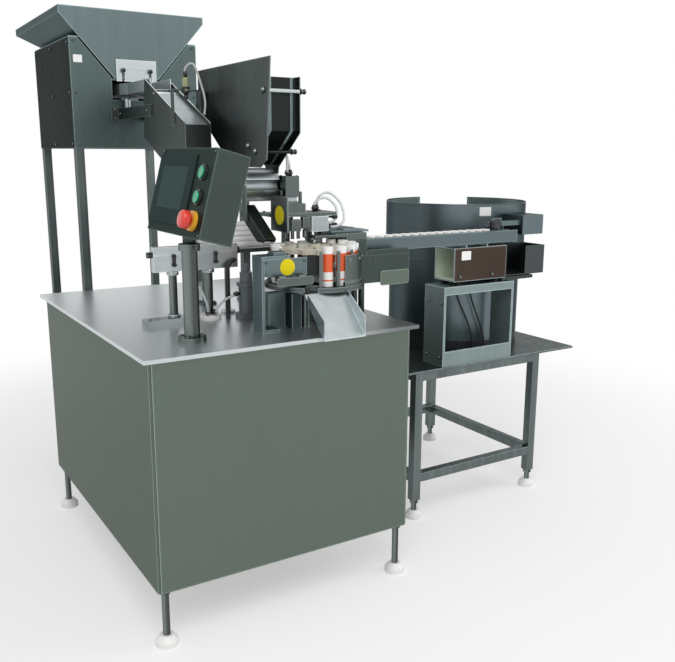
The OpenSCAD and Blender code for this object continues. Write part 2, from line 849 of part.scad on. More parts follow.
module chute_flap() color("#aeb3b1") machine()
  translate([spout_c, flap_y, chute_top(flap_y) - flap_drop]) rotate([chute_a, 0, 0]) {
    translate([-chute_w / 2 + fit, 0, 0]) rotate([0, 90, 0]) cylinder(d = hinge_d, h = chute_w - 2 * fit);
    translate([-chute_w / 2 - chute_t, 0, 0]) rotate([0, 90, 0])
      cylinder(d = hinge_d - 4, h = chute_w + 2 * chute_t);
    translate([-chute_w / 2 + 1, -flap_l, -1.5]) cube([chute_w - 2, flap_l, 3]);
  }

module level_sensor() color("#b7bd3a") machine() {
  post(spout_c, sensor_y, bar_z - 24, bar_z + 4, sensor_d);
  post(spout_c, sensor_y, bar_z + 4, bar_z + 10, sensor_d + 6);
  post(spout_c, sensor_y, bar_z + 10, bar_z + sensor_h, sensor_d);
}

// Bin: two side plates with bearing lugs, a bent front wall, a sloped rear wall and tie rods
module tube_bin() color(dark) machine() {
  inner = bin_w - 2 * bin_t;
  top = bin_z + bin_h;
  back = bin_y + bin_d;
  rear_foot = drum_y + 38;
  front_foot = drum_y - 24;
  lug = [[drum_y - 34, bin_z], [drum_y - lug_r, drum_c.y], [drum_y + lug_r, drum_c.y],
    [rear_foot + 6, bin_z]];
  left = concat([[bin_y, top], [bin_y + 26, bin_z + 19], [bin_y + 62, bin_z]], lug,
    [[back, bin_z + 150], [back, top]]);
  right = concat([[bin_y + 36, top - 42], [bin_y + 36, bin_z + 88]], lug,
    [[back, bin_z + 150], [back, top - 42]]);
  for (side = [[bin_x, left], [bin_x + bin_w - bin_t, right]]) difference() {
    union() {
      side_plate(side[0], bin_t, side[1]);
      translate([side[0], drum_c.x, drum_c.y]) rotate([0, 90, 0]) cylinder(r = lug_r, h = bin_t);
    }
    translate([side[0] - past, drum_c.x, drum_c.y]) rotate([0, 90, 0])
      cylinder(d = drum_shaft + 2 * run, h = bin_t + 2 * past);
  }
  block([bin_x, tab_y, tab_z], [bin_x + bin_t, tab_y + tab_w, drum_c.y]);
  side_plate(bin_x + bin_t, inner, [[bin_y + 48, top - 44], [bin_y + 48, bin_z + 92],
    [front_foot, bin_z + 6],
    [front_foot + 4, bin_z + 9], [bin_y + 51, bin_z + 94], [bin_y + 51, top - 44]]);
  side_plate(bin_x + bin_t, inner, [[back - 20, top - 50], [back - 20, bin_z + 156], [rear_foot, bin_z + 6],
    [rear_foot - 3, bin_z + 9], [back - 23, bin_z + 158], [back - 23, top - 50]]);
  for (p = [[bin_y + 20, top - 78], [bin_y + 70, bin_z + 40]])
    translate([bin_x + bin_t, p[0] + 19, p[1]]) rotate([0, 90, 0]) cylinder(d = 10, h = bin_w - bin_t + 10);
}

module bin_posts() color(steel) machine() for (x = [bin_x - post_s, bin_x + bin_w]) {
  block([x, post_y, cab_h], [x + post_s, post_y + post_s, bin_z + bin_h - post_short]);
  translate([x - post_lip, post_y - post_lip, cab_h])
    cube([post_s + 2 * post_lip, post_s + 2 * post_lip, foot_t]);
}

module sorting_drum() color("#a4aaa7") machine()
translate([bin_x, drum_c.x, drum_c.y]) rotate([0, 90, 0]) {
  difference() {
    translate([0, 0, bin_t + 0.5]) cylinder(d = drum_d, h = bin_w - 2 * bin_t - 1);
    for (i = [0:5]) rotate(i * 60 + 30)
      translate([drum_d / 2 - 2, 0, bin_t]) cylinder(d = tube_d + 1, h = bin_w);
  }
  translate([0, 0, -6]) cylinder(d = drum_shaft, h = bin_w + 22);
  translate([0, 0, bin_w + 2]) cylinder(d = 48, h = 14);
}

// Square duct that brings tubes down to the dial, cut level above the caps
module tube_chute() color("#3b403e") machine() {
  x = bin_x + bin_t + duct_gap;
  difference() {
    translate([x, duct_y, duct_top]) rotate([duct_a, 0, 0]) difference() {
      translate([0, -duct_l, -duct_s]) cube([duct_s, duct_l, duct_s]);
      translate([2, -duct_l - past, 2 - duct_s]) cube([duct_s - 4, duct_l + 2 * past, duct_s - 4]);
    }
    block([x - past, duct_y - 2 * duct_l, cab_h], [x + duct_s + past, duct_y + past, arm_rise]);
  }
  block([bin_x + bin_t, tab_y, tab_z], [x, tab_y + tab_w, tab_z + 20]);
}

module tablet_rack() color("#9aa09d") machine() {
  translate([rack_x, rack_y, rack_z]) rotate([rack_a, 0, 0]) difference() {
    cube([rack_w, rack_l, rack_t]);
    for (i = [0:4])
      translate([6, 18 + i * groove_pitch, rack_t + 2]) rotate([0, 90, 0])
        cylinder(d = groove_d, h = rack_w - 12);
  }
  back_z = rack_z + rack_l * sin(rack_a);
  back_y = rack_y + rack_l * cos(rack_a);
  for (x = [bin_x - post_s, bin_x + bin_w])
    block([x, back_y - 8, back_z - 30], [x + post_s, post_y, back_z + 4]);
  post(rack_x + 90, rack_y + 32, cab_h, rack_z + 32 * tan(rack_a) + 7, 16);
  post(rack_x + 90, rack_y + 32, cab_h, cab_h + 8, 40);
}

module infeed_stand() color(bright) machine() {
  block([push_x - 30, push_y - 26, cab_h], [push_x + 108, push_y + 14, cab_h + 15]);
  post(push_x + 54, push_y, cab_h + 15, cab_h + push_z - push_low, 22);
  post(valve_top.x, push_y, valve_top.z, cab_h + push_z - push_low, 22);
}

module infeed_plate() color("#b4b8b7") machine() difference() {
  block([push_x, push_y - push_t / 2, cab_h + push_z - push_low],
    [push_x + push_l, push_y + push_t / 2, cab_h + push_z + push_high]);
  translate([push_x - past, push_y, cab_h + push_z]) rotate([0, 90, 0])
    cylinder(d = rod_d + 2 * run, h = push_l + 2 * past);
}

module pusher_rod() color(bright) machine() translate([push_x, push_y, cab_h + push_z]) rotate([0, 90, 0]) {
  translate([0, 0, -14]) cylinder(d = rod_d, h = push_l + 14 + fit);
  translate([0, 0, push_l + fit]) cylinder(d = rod_d + 4, h = 6);
}

module feed_motor() color("#6b726e") machine() {
  x = motor_c.x;
  y = motor_c.y;
  block([x - 22, y - 26, cab_h], [x + 34, y + 26, cab_h + 16]);
  post(x, y, cab_h + 16, cab_h + 92, 42);
  post(x, y, cab_h + 92, cab_h + 100, 52);
  post(x, y, cab_h + 100, cab_h + 128, 34);
  post(x, y, cab_h + 128, cab_h + 150, 18);
}

module hose_stand() color("white") machine()
  translate([valve_top.x, valve_top.y, cab_h]) rotate_extrude()
    polygon([[0, 0], [valve_r, 0], [valve_r, valve_t * 0.6], [valve_r - 3, valve_t], [0, valve_t]]);

// Outer guide rail: an arc above the dial floor
module guide_arc(z, h, from, sweep) {
  translate([dial_x, dial_y, z]) rotate([0, 0, from]) rotate_extrude(angle = sweep)
    translate([sweep_r + fit, 0]) square([4, h]);
}

module dial_base() color("#8f9592") machine() {
  difference() {
    post(dial_x, dial_y, floor_z, floor_top, 2 * floor_r);
    post(dial_x, dial_y, floor_z - past, floor_top + past, shaft_d + 2 * run);
    translate([dial_x, dial_y, floor_z - past]) rotate([0, 0, exit_a])
      translate([pitch_r - tube_d / 2 - 3, -tube_d / 2 - 3, 0])
        cube([floor_r, tube_d + 6, floor_t + 2 * past]);
  }
  for (a = [45:90:315])
    post(dial_x + leg_r * cos(a), dial_y + leg_r * sin(a), cab_h, floor_z, 22);
  guide_arc(floor_top + 20, 8, -18, 170);
  guide_arc(floor_top + 66, 8, -18, 170);
  for (a = [-14, 40, 95, 148]) translate([dial_x, dial_y, floor_top]) rotate([0, 0, a])
    translate([sweep_r + fit, -6, 0]) cube([8, 12, 74]);
  for (a = bar_angles) translate([dial_x, dial_y, floor_top]) rotate([0, 0, a])
    translate([sweep_r + fit, -4, 0]) cube([5, 8, tube_l - 4]);
}
leg_r = 92;
// Upright guide bars stand between the pockets at the dial's front
bar_angles = [-90 - pocket_a, -90, -90 + pocket_a, -90 + 2 * pocket_a];

// Star wheel: two pocketed discs on a hub and the shaft that the drive turns
module index_dial() color("#e6e0cf") machine() translate([dial_x, dial_y, 0]) {
  difference() {
    union() {
      for (z = [floor_top + 10, tube_top - 16]) translate([0, 0, z]) cylinder(r = pitch_r - 1, h = 12);
      translate([0, 0, floor_top + fit]) cylinder(d = 60, h = tube_l - 10);
    }
    for (i = [0:pockets - 1]) rotate((i + 0.5) * pocket_a) translate([pitch_r, 0, floor_top])
      cylinder(d = tube_d + 2 * fit, h = tube_l);
  }
  translate([0, 0, under_z - 70]) cylinder(d = shaft_d, h = tube_top + 4 - under_z + 70);
}

// Filled tubes from the entry round to the last pocket before the exit; closed ones carry a cap
module loaded_tubes() color("#e8632c") machine() translate([dial_x, dial_y, tube_z])
  for (i = [0:pockets - 4]) let (a = -90 - pocket_a / 2 + i * pocket_a)
  rotate(a) translate([pitch_r, 0, 0]) {
    difference() {
      cylinder(d = tube_d, h = tube_l);
      translate([0, 0, tube_l - rim_low]) cylinder(d = tube_d - 2 * bore_t, h = tube_l);
    }
    if (a < close_a + 1)
      translate([0, 0, tube_l - rim_low]) {
        cylinder(d = tube_d - 2 * bore_t, h = rim_low);
        translate([0, 0, rim_low]) cylinder(d = tube_d, h = cap_h);
      }
  }

// Bent bracket at the dial's left with the transfer block
module front_bracket() color("#848a87") machine() {
  right = dial_x - sweep_r - 5;
  left = right - bracket_w;
  front = dial_y - bracket_y;
  back = front + bracket_d;
  top = tube_top - bracket_low;
  seat = top - bracket_h;
  block([left, front + face_t, seat], [right, back, top]);
  block([left + face_in, front, top - face_low - face_h],
    [right + face_over, front + face_t, top - face_low]);
  block([left, front + face_t, cab_h], [left + foot_t, back, seat]);
  block([left + foot_t, front + face_t, cab_h], [left + sole_l, back, cab_h + foot_t]);
  block([left + 40, back - 42, top], [right - 4, back - 10, top + 8]);
}

module capping_bridge() color("#5c6461") machine() {
  difference() {
    block([bridge_x, bridge_y, bridge_z], [bridge_x + bridge_w, bridge_y + bridge_d, bridge_z + bridge_t]);
    post(fill_x, fill_y, bridge_z - past, bridge_z + bridge_t + past, ram_d + 2 * run);
  }
  for (x = [dial_x - 4, dial_x + 104])
    post(x, bridge_y + bridge_d - 16, cab_h, bridge_z, 24);
  side_plate(bridge_x - guard_t, guard_t, [[dial_y, guard_z], [bridge_y + guard_lap, guard_z],
    [bridge_y + guard_lap, guard_z + guard_h], [dial_y, guard_z + guard_h]]);
}

// Square filling cylinder on the bridge and flat capping cylinder below it
module air_cylinders() color("#9ba19e") machine() {
  top = bridge_z + bridge_t;
  difference() {
    union() {
      translate([fill_x - neck_s / 2, fill_y - neck_s / 2, top]) cube([neck_s, neck_s, fill_rise]);
      translate([fill_x - fill_s / 2, fill_y - fill_s / 2, top + fill_rise]) cube([fill_s, fill_s, fill_h]);
    }
    post(fill_x, fill_y, top - past, fill_top.z - 10, ram_d + 2 * run);
  }
  difference() {
    translate([close_x - close_w / 2, close_y - close_d / 2, bridge_z - close_h])
      cube([close_w, close_d, close_h]);
    post(close_x, close_y, bridge_z - close_h - past, bridge_z - 4, press_d + 2 * run);
  }
}

module filling_ram() color(bright) machine() {
  low = cap_top + fill_travel + 8;
  post(fill_x, fill_y, low, fill_top.z - 12, ram_d);
}

module capping_ram() color(bright) machine() {
  low = cap_top + press_travel + 2;
  post(close_x, close_y, low, bridge_z - 6, press_d);
}

// Panel, posts and lane block that bring the caps from the track to the dial
module cap_bracket() color("#565d5a") machine() {
  left = dial_x + sweep_r + 6;
  y = track_y - track_w / 2 - 44;
  low = floor_z - 15;
  block([dial_x + floor_r + 2, y, low], [right_x + 4, y + 6, lane_z - 19]);
  block([right_x + 4, y, low], [right_x + 155, y + 6, lane_z - 34]);
  difference() {
    block([left, y, lane_z - 19], [right_x + 4, track_y + track_w / 2, lane_z + 12]);
    block([left - past, track_y - track_cap_d / 2 - 1, lane_z],
      [right_x + 4 + past, track_y + track_cap_d / 2 + 1, lane_z + 13]);
  }
  block([left, track_y - track_w / 2 - 16, lane_z + 12],
    [left + 8, track_y - track_cap_d / 2 - 1, arm_rise]);
  block([left - 48, track_y - track_w / 2 - 16, arm_rise],
    [left + 8, track_y - track_cap_d / 2 - 1, arm_rise + 10]);
  for (x = [left + 26, right_x - 12])
    post(x, y + 3, cab_h, low, 18);
}

module discharge_chute() color(bright) machine() {
  front = out_y - out_drop;
  low = floor_z - out_drop;
  slab = out_t * sqrt(2);
  side_plate(out_x, out_w, [[out_y, floor_z], [front, low], [front, low - slab], [out_y, floor_z - slab]]);
  block([out_x, out_y, floor_z - slab], [out_x + out_w, out_y + 34, floor_z]);
  for (x = [out_x - out_t, out_x + out_w])
    side_plate(x, out_t, [[front, low - slab], [front, low + 48], [out_y - 16, floor_z + 4],
      [out_y - 16, floor_z - 16 - slab]]);
}

module feeder_table() color(steel) machine() {
  legs_z = feed_h - feed_t;
  half = feed_leg / 2;
  block([feed_x, feed_y, legs_z], [feed_end, feed_y + feed_d, feed_h]);
  cage([feed_legs[0] - half, feed_y + feed_in - half, tower_leg_z],
    [feed_legs[1] + half, feed_y + feed_d - feed_in + half, legs_z], feed_leg,
    [tower_leg_z + 62, legs_z - feed_leg]);
  block([feed_x, feed_y + 40, legs_z - 50], [feed_x + 4, feed_y + feed_d - 40, legs_z]);
}

// Open drum with a wider upper part, and a spout that leads to the track
module bowl_housing() color(steel) machine() {
  low = feed_h + plinth_h;
  step = feed_h + bowl_h * step_share;
  top = feed_h + bowl_h;
  small = bowl_r - bowl_step;
  difference() {
    translate([bowl_x, bowl_y, 0]) rotate_extrude($fn = 96) polygon([[small - bowl_t, low],
      [small, low], [small, step], [bowl_r, step], [bowl_r, top], [bowl_r - bowl_t, top],
      [bowl_r - bowl_t, step + bowl_t], [small - bowl_t, step + bowl_t]]);
    block([spout_left + 3, bowl_y - bowl_r - past, lane_z + 3],
      [spout_left + 45, bowl_y - bowl_r + 40, lane_z + 40]);
    // Gap in the far wall's rim
    translate([bowl_x, bowl_y, top - rim_gap_h]) rotate(rim_gap_a) linear_extrude(2 * rim_gap_h)
      polygon([[0, 0], [2 * bowl_r, -2 * bowl_r * tan(rim_gap / 2)],
        [2 * bowl_r, 2 * bowl_r * tan(rim_gap / 2)]]);
  }
  difference() {
    block([spout_left, track_y + track_w / 2 + 2, lane_z - 2],
      [spout_left + 48, bowl_y - bowl_r + 4, lane_z + 24]);
    block([spout_left + 3, track_y, lane_z + 1], [spout_left + 45, bowl_y, lane_z + 25]);
    translate([bowl_x, bowl_y, lane_z - past - 2]) cylinder(r = bowl_r - bowl_t, h = 50, $fn = 96);
  }
  // Block beside the outlet, with the arm that reaches over the track
  difference() {
    block([spout_left + 48, track_y - arm_w, lane_z - 10],
      [spout_left + 140, bowl_y - bowl_r + 24, lane_z + 54]);
    translate([bowl_x, bowl_y, lane_z - 11]) cylinder(r = bowl_r - bowl_t, h = 70, $fn = 96);
  }
  difference() {
    block([knob_x - 14, track_y - arm_w / 2, knob_z - 8],
      [spout_left + 48, track_y + arm_w / 2, knob_z + 8]);
    translate([knob_x, track_y - arm_w, knob_z]) rotate([-90, 0, 0])
      cylinder(d = knob_bore + 2 * run, h = 2 * arm_w);
  }
}
spout_left = bowl_x - 48;
knob_x = track_x + track_l - 100;
knob_z = lane_z + 30;
arm_w = 20;
knob_bore = 10;
knob_d = 34;

module cap_bowl() color("#b0b5b2") machine() translate([bowl_x, bowl_y, 0]) {
  low = feed_h + coil_h + spring_l + fit;
  deck = low + wall_t;
  rotate_extrude($fn = 96) polygon([[0, low], [dish_r, low], [cup_r, low + dish_h], [cup_r, low + cup_h],
    [cup_r - wall_t, low + cup_h], [cup_r - wall_t, low + dish_h + 2], [dish_r - 2, deck + wall_t],
    [cone_r, deck + 3 * wall_t], [0, deck + cone_h]]);
}

module bowl_drive() color("#1d1f1f") machine() translate([bowl_x, bowl_y, feed_h]) {
  cylinder(r = bowl_r - bowl_step, h = plinth_h, $fn = 96);
  translate([0, 0, plinth_h]) cylinder(r = coil_r, h = coil_h - plinth_h);
  for (a = [30, 150, 270]) rotate(a)
    translate([spring_r, -spring_w / 2, coil_h]) cube([spring_t, spring_w, spring_l]);
}

// Open box of four plates, with rubber buffers on its top
module track_stand() color("#9aa19e") machine() {
  back = drive_y + drive_d;
  block([stand_x, drive_y, feed_h], [stand_x + stand_t, back, stand_z]);
  block([stand_x + stand_l - stand_t, drive_y, feed_h], [stand_x + stand_l, back, stand_z]);
  block([stand_x + stand_t, drive_y, feed_h], [stand_x + stand_l - stand_t, back, feed_h + stand_t]);
  block([stand_x + stand_t, drive_y, feed_h + stand_t],
    [stand_x + stand_l - stand_t, drive_y + stand_t, feed_h + sill_h]);
  block([stand_x, drive_y, stand_z], [stand_x + stand_l, back, drive_z - rubber_h]);
  for (x = [drive_x + rubber_x, drive_x + drive_l - rubber_x], y = [drive_y + rubber_y, back - rubber_y])
    post(x, y, drive_z - rubber_h, drive_z, rubber_d);
}

// Housing open at its left end, catch tray at its right, leaf springs on top
module track_drive() color("#8d8378") machine() {
  t = drive_t;
  back = drive_y + drive_d;
  end = drive_x + drive_l;
  top = drive_z + drive_h;
  difference() {
    block([drive_x, drive_y, drive_z], [end, back, top]);
    block([drive_x - past, drive_y + t, drive_z + t], [drive_x + bay_l, back - t, top - t]);
    block([drive_x + bay_l + t, drive_y + t, drive_z + t], [end - t, back - t, top - t]);
  }
  difference() {
    block([end, drive_y, drive_z + 4], [end + catch_l, back, top - catch_drop]);
    block([end + t, drive_y + t, drive_z + 4 + t], [end + catch_l - t, back - t, top]);
    block([end + t, drive_y - past, drive_z + 4 + t], [end + catch_gap, drive_y + t + past, top]);
  }
  for (x = [drive_x + bay_l - 12, end - bay_l + 2])
    block([x, track_y - leaf_w / 2, top], [x + leaf_t, track_y + leaf_w / 2, track_z - fit]);
}

module cap_track() color(bright) machine() difference() {
  block([track_x, track_y - track_w / 2, track_z], [track_x + track_l, track_y + track_w / 2, lane_z + 8]);
  block([track_x - past, track_y - track_cap_d / 2 - 1, lane_z],
    [track_x + track_l + past, track_y + track_cap_d / 2 + 1, lane_z + 9]);
}

module track_caps() color("white") machine() for (i = [0:cap_count - 1])
  translate([track_x + 20 + i * cap_pitch, track_y, lane_z]) {
    cylinder(d = track_cap_d - 4, h = 9);
    translate([0, 0, 9]) cylinder(d = track_cap_d, h = 5);
  }

// Hand knob on the arm's front face
module star_knob() color("#1d1f1f") machine()
translate([knob_x, track_y - arm_w / 2, knob_z]) rotate([90, 0, 0]) {
  translate([0, 0, -arm_w]) cylinder(d = knob_bore, h = arm_w + 10);
  translate([0, 0, fit]) cylinder(d = 18, h = 10);
  difference() {
    translate([0, 0, 10]) cylinder(d = knob_d, h = 14);
    for (i = [0:4]) rotate(i * 72 + 36)
      translate([knob_d / 2 + 3, 0, 10 - past]) cylinder(d = 14, h = 14 + 2 * past);
  }
}

// Round tube along a smoothed route
function blend(p, q, r, s, t) = 0.5 * (2 * q + (r - p) * t + (2 * p - 5 * q + 4 * r - s) * t * t
  + (3 * q - p - 3 * r + s) * t * t * t);
function smooth(route, n) = let (last = len(route) - 1)
  [for (i = [0:n * last]) let (k = min(floor(i / n), last - 1))
  blend(route[max(k - 1, 0)], route[k], route[k + 1], route[min(k + 2, last)], i / n - k)];
function unit(v) = v / norm(v);

module sweep(route, d) {
  sides = 8;
  path = smooth(route, 3);
  last = len(path) - 1;
  rings = [for (i = [0:last]) let (t = unit(path[min(i + 1, last)] - path[max(i - 1, 0)]),
      n = unit(cross(t, [0.31, 0.9, 0.3])), b = cross(t, n))
    for (j = [0:sides - 1]) path[i] + d / 2 * (n * cos(j * 360 / sides) + b * sin(j * 360 / sides))];
  walls = [for (i = [0:last - 1], j = [0:sides - 1]) let (k = (j + 1) % sides)
    [i * sides + j, (i + 1) * sides + j, (i + 1) * sides + k, i * sides + k]];
  ends = [[for (j = [0:sides - 1]) j], [for (j = [sides - 1:-1:0]) last * sides + j]];
  polyhedron(rings, concat(walls, ends));
}

module air_hoses() color("#dfe3e4") machine() for (r = hose_routes) sweep(r, hose_d);

module cables() color("#2a2a2a") machine() for (r = cable_routes) sweep(r, cable_d);

base_frame();
floor_pan();
front_panel();
left_panel();
right_panel();
rear_panel();
table_plate();
levelling_stems();
foot_pads();
index_drive();
electric_plate();
control_column();
control_box();
hmi_panel();
button_rings();
start_button();
reset_button();
estop_collar();
estop_button();
tower_frame();
tower_panels();
tower_front();
tablet_hopper();
gate_plate();
feeder_tray();
feeder_drive();
tablet_chute();
chute_flap();
level_sensor();
tube_bin();
bin_posts();
sorting_drum();
tube_chute();
tablet_rack();
infeed_stand();
infeed_plate();
pusher_rod();
feed_motor();
hose_stand();
dial_base();
index_dial();
loaded_tubes();
front_bracket();
capping_bridge();
air_cylinders();
filling_ram();
capping_ram();
cap_bracket();
discharge_chute();
feeder_table();
bowl_housing();
cap_bowl();
bowl_drive();
track_stand();
track_drive();
cap_track();
track_caps();
star_knob();
air_hoses();
cables();
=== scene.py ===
"""Finishes, small fittings and stage for the tablet tube filling machine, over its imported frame."""

import math
import random
from itertools import product

import bmesh
import bpy
from bpy.props import FloatProperty, FloatVectorProperty, IntProperty, PointerProperty
from mathutils import Matrix, Vector


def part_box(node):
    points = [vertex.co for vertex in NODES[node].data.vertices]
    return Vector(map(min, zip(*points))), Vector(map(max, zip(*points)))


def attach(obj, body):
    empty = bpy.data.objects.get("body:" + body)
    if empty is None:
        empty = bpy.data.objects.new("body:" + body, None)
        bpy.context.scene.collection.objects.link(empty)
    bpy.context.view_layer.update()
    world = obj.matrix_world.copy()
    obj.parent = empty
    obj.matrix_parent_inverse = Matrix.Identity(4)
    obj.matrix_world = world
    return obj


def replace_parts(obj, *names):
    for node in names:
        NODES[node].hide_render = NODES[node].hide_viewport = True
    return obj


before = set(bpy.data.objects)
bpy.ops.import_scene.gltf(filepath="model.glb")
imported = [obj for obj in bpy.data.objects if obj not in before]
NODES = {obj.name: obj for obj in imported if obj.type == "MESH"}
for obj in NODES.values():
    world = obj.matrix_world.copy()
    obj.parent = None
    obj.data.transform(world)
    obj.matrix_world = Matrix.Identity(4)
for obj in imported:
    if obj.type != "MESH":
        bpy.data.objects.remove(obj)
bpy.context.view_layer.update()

bl_info = {
    "name": "Tablet tube filling machine",
    "version": (1, 0, 0),
    "blender": (4, 5, 0),
    "location": "3D View > Sidebar > Tube filler",
    "description": "Dresses the tube filling machine with its finishes, fittings and stage",
    "category": "Object",
}

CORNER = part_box("table_plate")[0]
MM = 0.001


def at(x, y, z):
    """A place in millimetres from the table's near left corner, on the floor, as metres in the frame."""
    return Vector((CORNER.x + x * MM, CORNER.y + y * MM, z * MM))


# Sizes and colours that a user would change


def colour(name, text, rgb):
    return FloatVectorProperty(name=name, description=text, default=rgb, size=3, min=0, max=1, subtype="COLOR")


def length(name, text, value):
    return FloatProperty(name=name, description=text, default=value, min=0, unit="LENGTH", subtype="DISTANCE")


class TF_PG_finishes(bpy.types.PropertyGroup):
    """Base colours of the machine's finishes"""

    cover: colour("Cover sheet", "Grey-green brushed cover sheets of the cabinet", (0.143, 0.177, 0.15))
    tower: colour("Tower sheet", "Brushed front sheet of the tablet tower", (0.11, 0.15, 0.148))
    hopper: colour("Hopper sheet", "Brushed sheet of the tablet hopper", (0.154, 0.2, 0.205))
    case: colour("Control case", "Brushed sheet of the control box and the dial's stand", (0.066, 0.086, 0.078))
    bin: colour("Bin sheet", "Brushed sheet of the tube bin and the tablet chute", (0.09, 0.108, 0.104))
    station: colour("Station sheet", "Brushed plates and blocks of both stations", (0.13, 0.152, 0.148))
    outfeed: colour("Outfeed sheet", "Brushed sheet of the discharge chute", (0.5, 0.55, 0.56))
    # Painted shade: a darker copy of the brushed steel for sheets in shade, the tower's side and rear covers among
    # them
    shade: colour("Shaded sheet", "Dark brushed sheet of the bin, the chute and the side covers", (0.056, 0.068, 0.064))
    bench: colour("Table steel", "Bright brushed steel of the table top and the trays", (0.6, 0.64, 0.65))
    pipe: colour("Frame tube", "Ground square tube of the stands", (0.15, 0.178, 0.176))
    bar: colour("Round bar", "Polished bars, columns and rams", (0.08, 0.092, 0.088))
    alloy: colour("Milled alloy", "Milled plates and blocks", (0.42, 0.46, 0.47))
    pale: colour("Pale plate", "Pale machined plates of the gate and the pusher", (0.57, 0.625, 0.635))
    drum: colour("Feeder sheet", "Brushed sheet of the bowl's housing", (0.09, 0.115, 0.122))
    stand: colour("Stand sheet", "Brushed sheet of the track's stand", (0.25, 0.31, 0.31))
    lane: colour("Track bar", "Grey ground bar of the cap track", (0.14, 0.18, 0.19))
    liner: colour("Liner paint", "Pale green paint inside the track drive", (0.6, 0.67, 0.54))
    white: colour("White plastic", "Foot pads, caps and tablets", (0.86, 0.86, 0.84))
    tablet: colour("Tablet", "Pressed white tablets", (0.95, 0.95, 0.94))
    cream: colour("Cream plastic", "Index dial", (0.52, 0.49, 0.4))
    motor: colour("Motor paint", "Drives and motor", (0.11, 0.13, 0.14))
    plate: colour("Plate paint", "Electric mounting plate", (0.6, 0.61, 0.59))
    black: colour("Black plastic", "Knobs, rings and fittings", (0.018, 0.018, 0.02))
    bezel: colour("Panel frame", "Frame of the touch panel", (0.038, 0.056, 0.056))
    screen: colour("Panel screen", "Grey-green screen of the touch panel", (0.055, 0.086, 0.084))
    green: colour("Green button", "Start and reset buttons", (0.0, 0.32, 0.15))
    red: colour("Red button", "Stop button's head", (0.72, 0.035, 0.02))
    yellow: colour("Yellow collar", "Stop button's collar", (0.83, 0.42, 0.03))
    disc: colour("Yellow disc", "Plain discs on the guards", (0.72, 0.6, 0.015))
    sensor: colour("Sensor body", "Level sensor", (0.3, 0.32, 0.18))
    orange: colour("Orange tube", "Printed side of the filled tubes", (0.78, 0.11, 0.025))
    copper: colour("Drive cover", "Brown front cover of the track drive", (0.072, 0.053, 0.043))
    tray: colour("Catch tray", "Shaded sheet of the tray that catches spilled caps", (0.075, 0.085, 0.088))
    sheath: colour("Sensor cable", "Grey cable of the level sensor", (0.42, 0.43, 0.42))
    hose: colour("Air hose", "Milky air hoses", (0.82, 0.86, 0.86))


class TF_PG_fittings(bpy.types.PropertyGroup):
    """Sizes of the small fittings"""

    edge: length("Edge", "Rounding of the sheet and plate edges", 0.0009)
    screw_d: length("Screw", "Head diameter of the cover screws", 0.009)
    bolt_d: length("Bolt", "Head diameter of the frame and bracket bolts", 0.013)
    tablet_d: length("Tablet", "Diameter of a tablet", 0.018)
    tablet_t: length("Tablet height", "Thickness of a tablet", 0.0045)
    disc_d: length("Disc", "Diameter of the plain yellow discs", 0.05)
    hose_d: length("Hose", "Diameter of an air hose", 0.007)
    cable_d: length("Cable", "Diameter of a cable", 0.006)
    loose_caps: IntProperty(name="Loose caps", description="Caps lying in the bowl", default=46, min=0, max=120)


class TF_PG_stage(bpy.types.PropertyGroup):
    """Floor, lamps and camera"""

    floor: colour("Floor", "Pale studio floor", (0.9, 0.9, 0.9))
    floor_r: length("Floor radius", "Radius of the round floor", 14.0)
    floor_near: length("Near floor", "Distance from the middle where the floor starts to fade to white", 1.3)
    floor_lift: FloatProperty(name="Near white", description="Share of white in the near floor", default=0.45, min=0,
                              max=1)
    floor_far: length("Far floor", "Distance from the middle where the floor is white", 2.6)
    key: FloatProperty(name="Key lamp", description="Power of the large lamp", default=84, min=0, unit="POWER")
    fill: FloatProperty(name="Fill lamp", description="Power of the side lamp", default=40, min=0, unit="POWER")
    ambient: FloatProperty(name="Ambient", description="Strength of the even surrounding light", default=0.62, min=0)
    lens: FloatProperty(name="Lens", description="Focal length in millimetres", default=43.277, min=1)


# Shader groups


def feed(tree, socket, value):
    """Links a socket to another one, or gives it a fixed value"""
    if isinstance(value, bpy.types.NodeSocket):
        tree.links.new(value, socket)
    else:
        socket.default_value = value


def new_group(name, inputs, outputs):
    tree = bpy.data.node_groups.new(name, "ShaderNodeTree")
    for label, kind, value in inputs:
        tree.interface.new_socket(label, in_out="INPUT", socket_type="NodeSocket" + kind).default_value = value
    for label in outputs:
        tree.interface.new_socket(label, in_out="OUTPUT", socket_type="NodeSocketFloat")
    return tree, tree.nodes.new("NodeGroupInput").outputs, tree.nodes.new("NodeGroupOutput").inputs


def math_node(tree, operation, a, b):
    node = tree.nodes.new("ShaderNodeMath")
    node.operation = operation
    feed(tree, node.inputs[0], a)
    feed(tree, node.inputs[1], b)
    return node.outputs[0]


def vector_math(tree, operation, *vectors):
    node = tree.nodes.new("ShaderNodeVectorMath")
    node.operation = operation
    for socket, vector in zip(node.inputs, vectors):
        tree.links.new(vector, socket)
    return node.outputs


def map_range(tree, value, start, end, low=0.0, high=1.0, kind="LINEAR"):
    """Takes a value from the range between start and end to the range between low and high"""
    node = tree.nodes.new("ShaderNodeMapRange")
    node.interpolation_type = kind
    labels = ("Value", "From Min", "From Max", "To Min", "To Max")
    for label, given in zip(labels, (value, start, end, low, high)):
        feed(tree, node.inputs[label], given)
    return node.outputs["Result"]


def spread(tree, factor, low, high):
    """Stretches the middle half of a noise, where most of it lies"""
    return map_range(tree, factor, 0.25, 0.75, low, high)


def noise(tree, vector, scale, detail):
    node = tree.nodes.new("ShaderNodeTexNoise")
    node.inputs["Detail"].default_value = detail
    tree.links.new(vector, node.inputs["Vector"])
    feed(tree, node.inputs["Scale"], scale)
    return node.outputs["Fac"]


def coordinate(tree, kind="Object"):
    return tree.nodes.new("ShaderNodeTexCoord").outputs[kind]


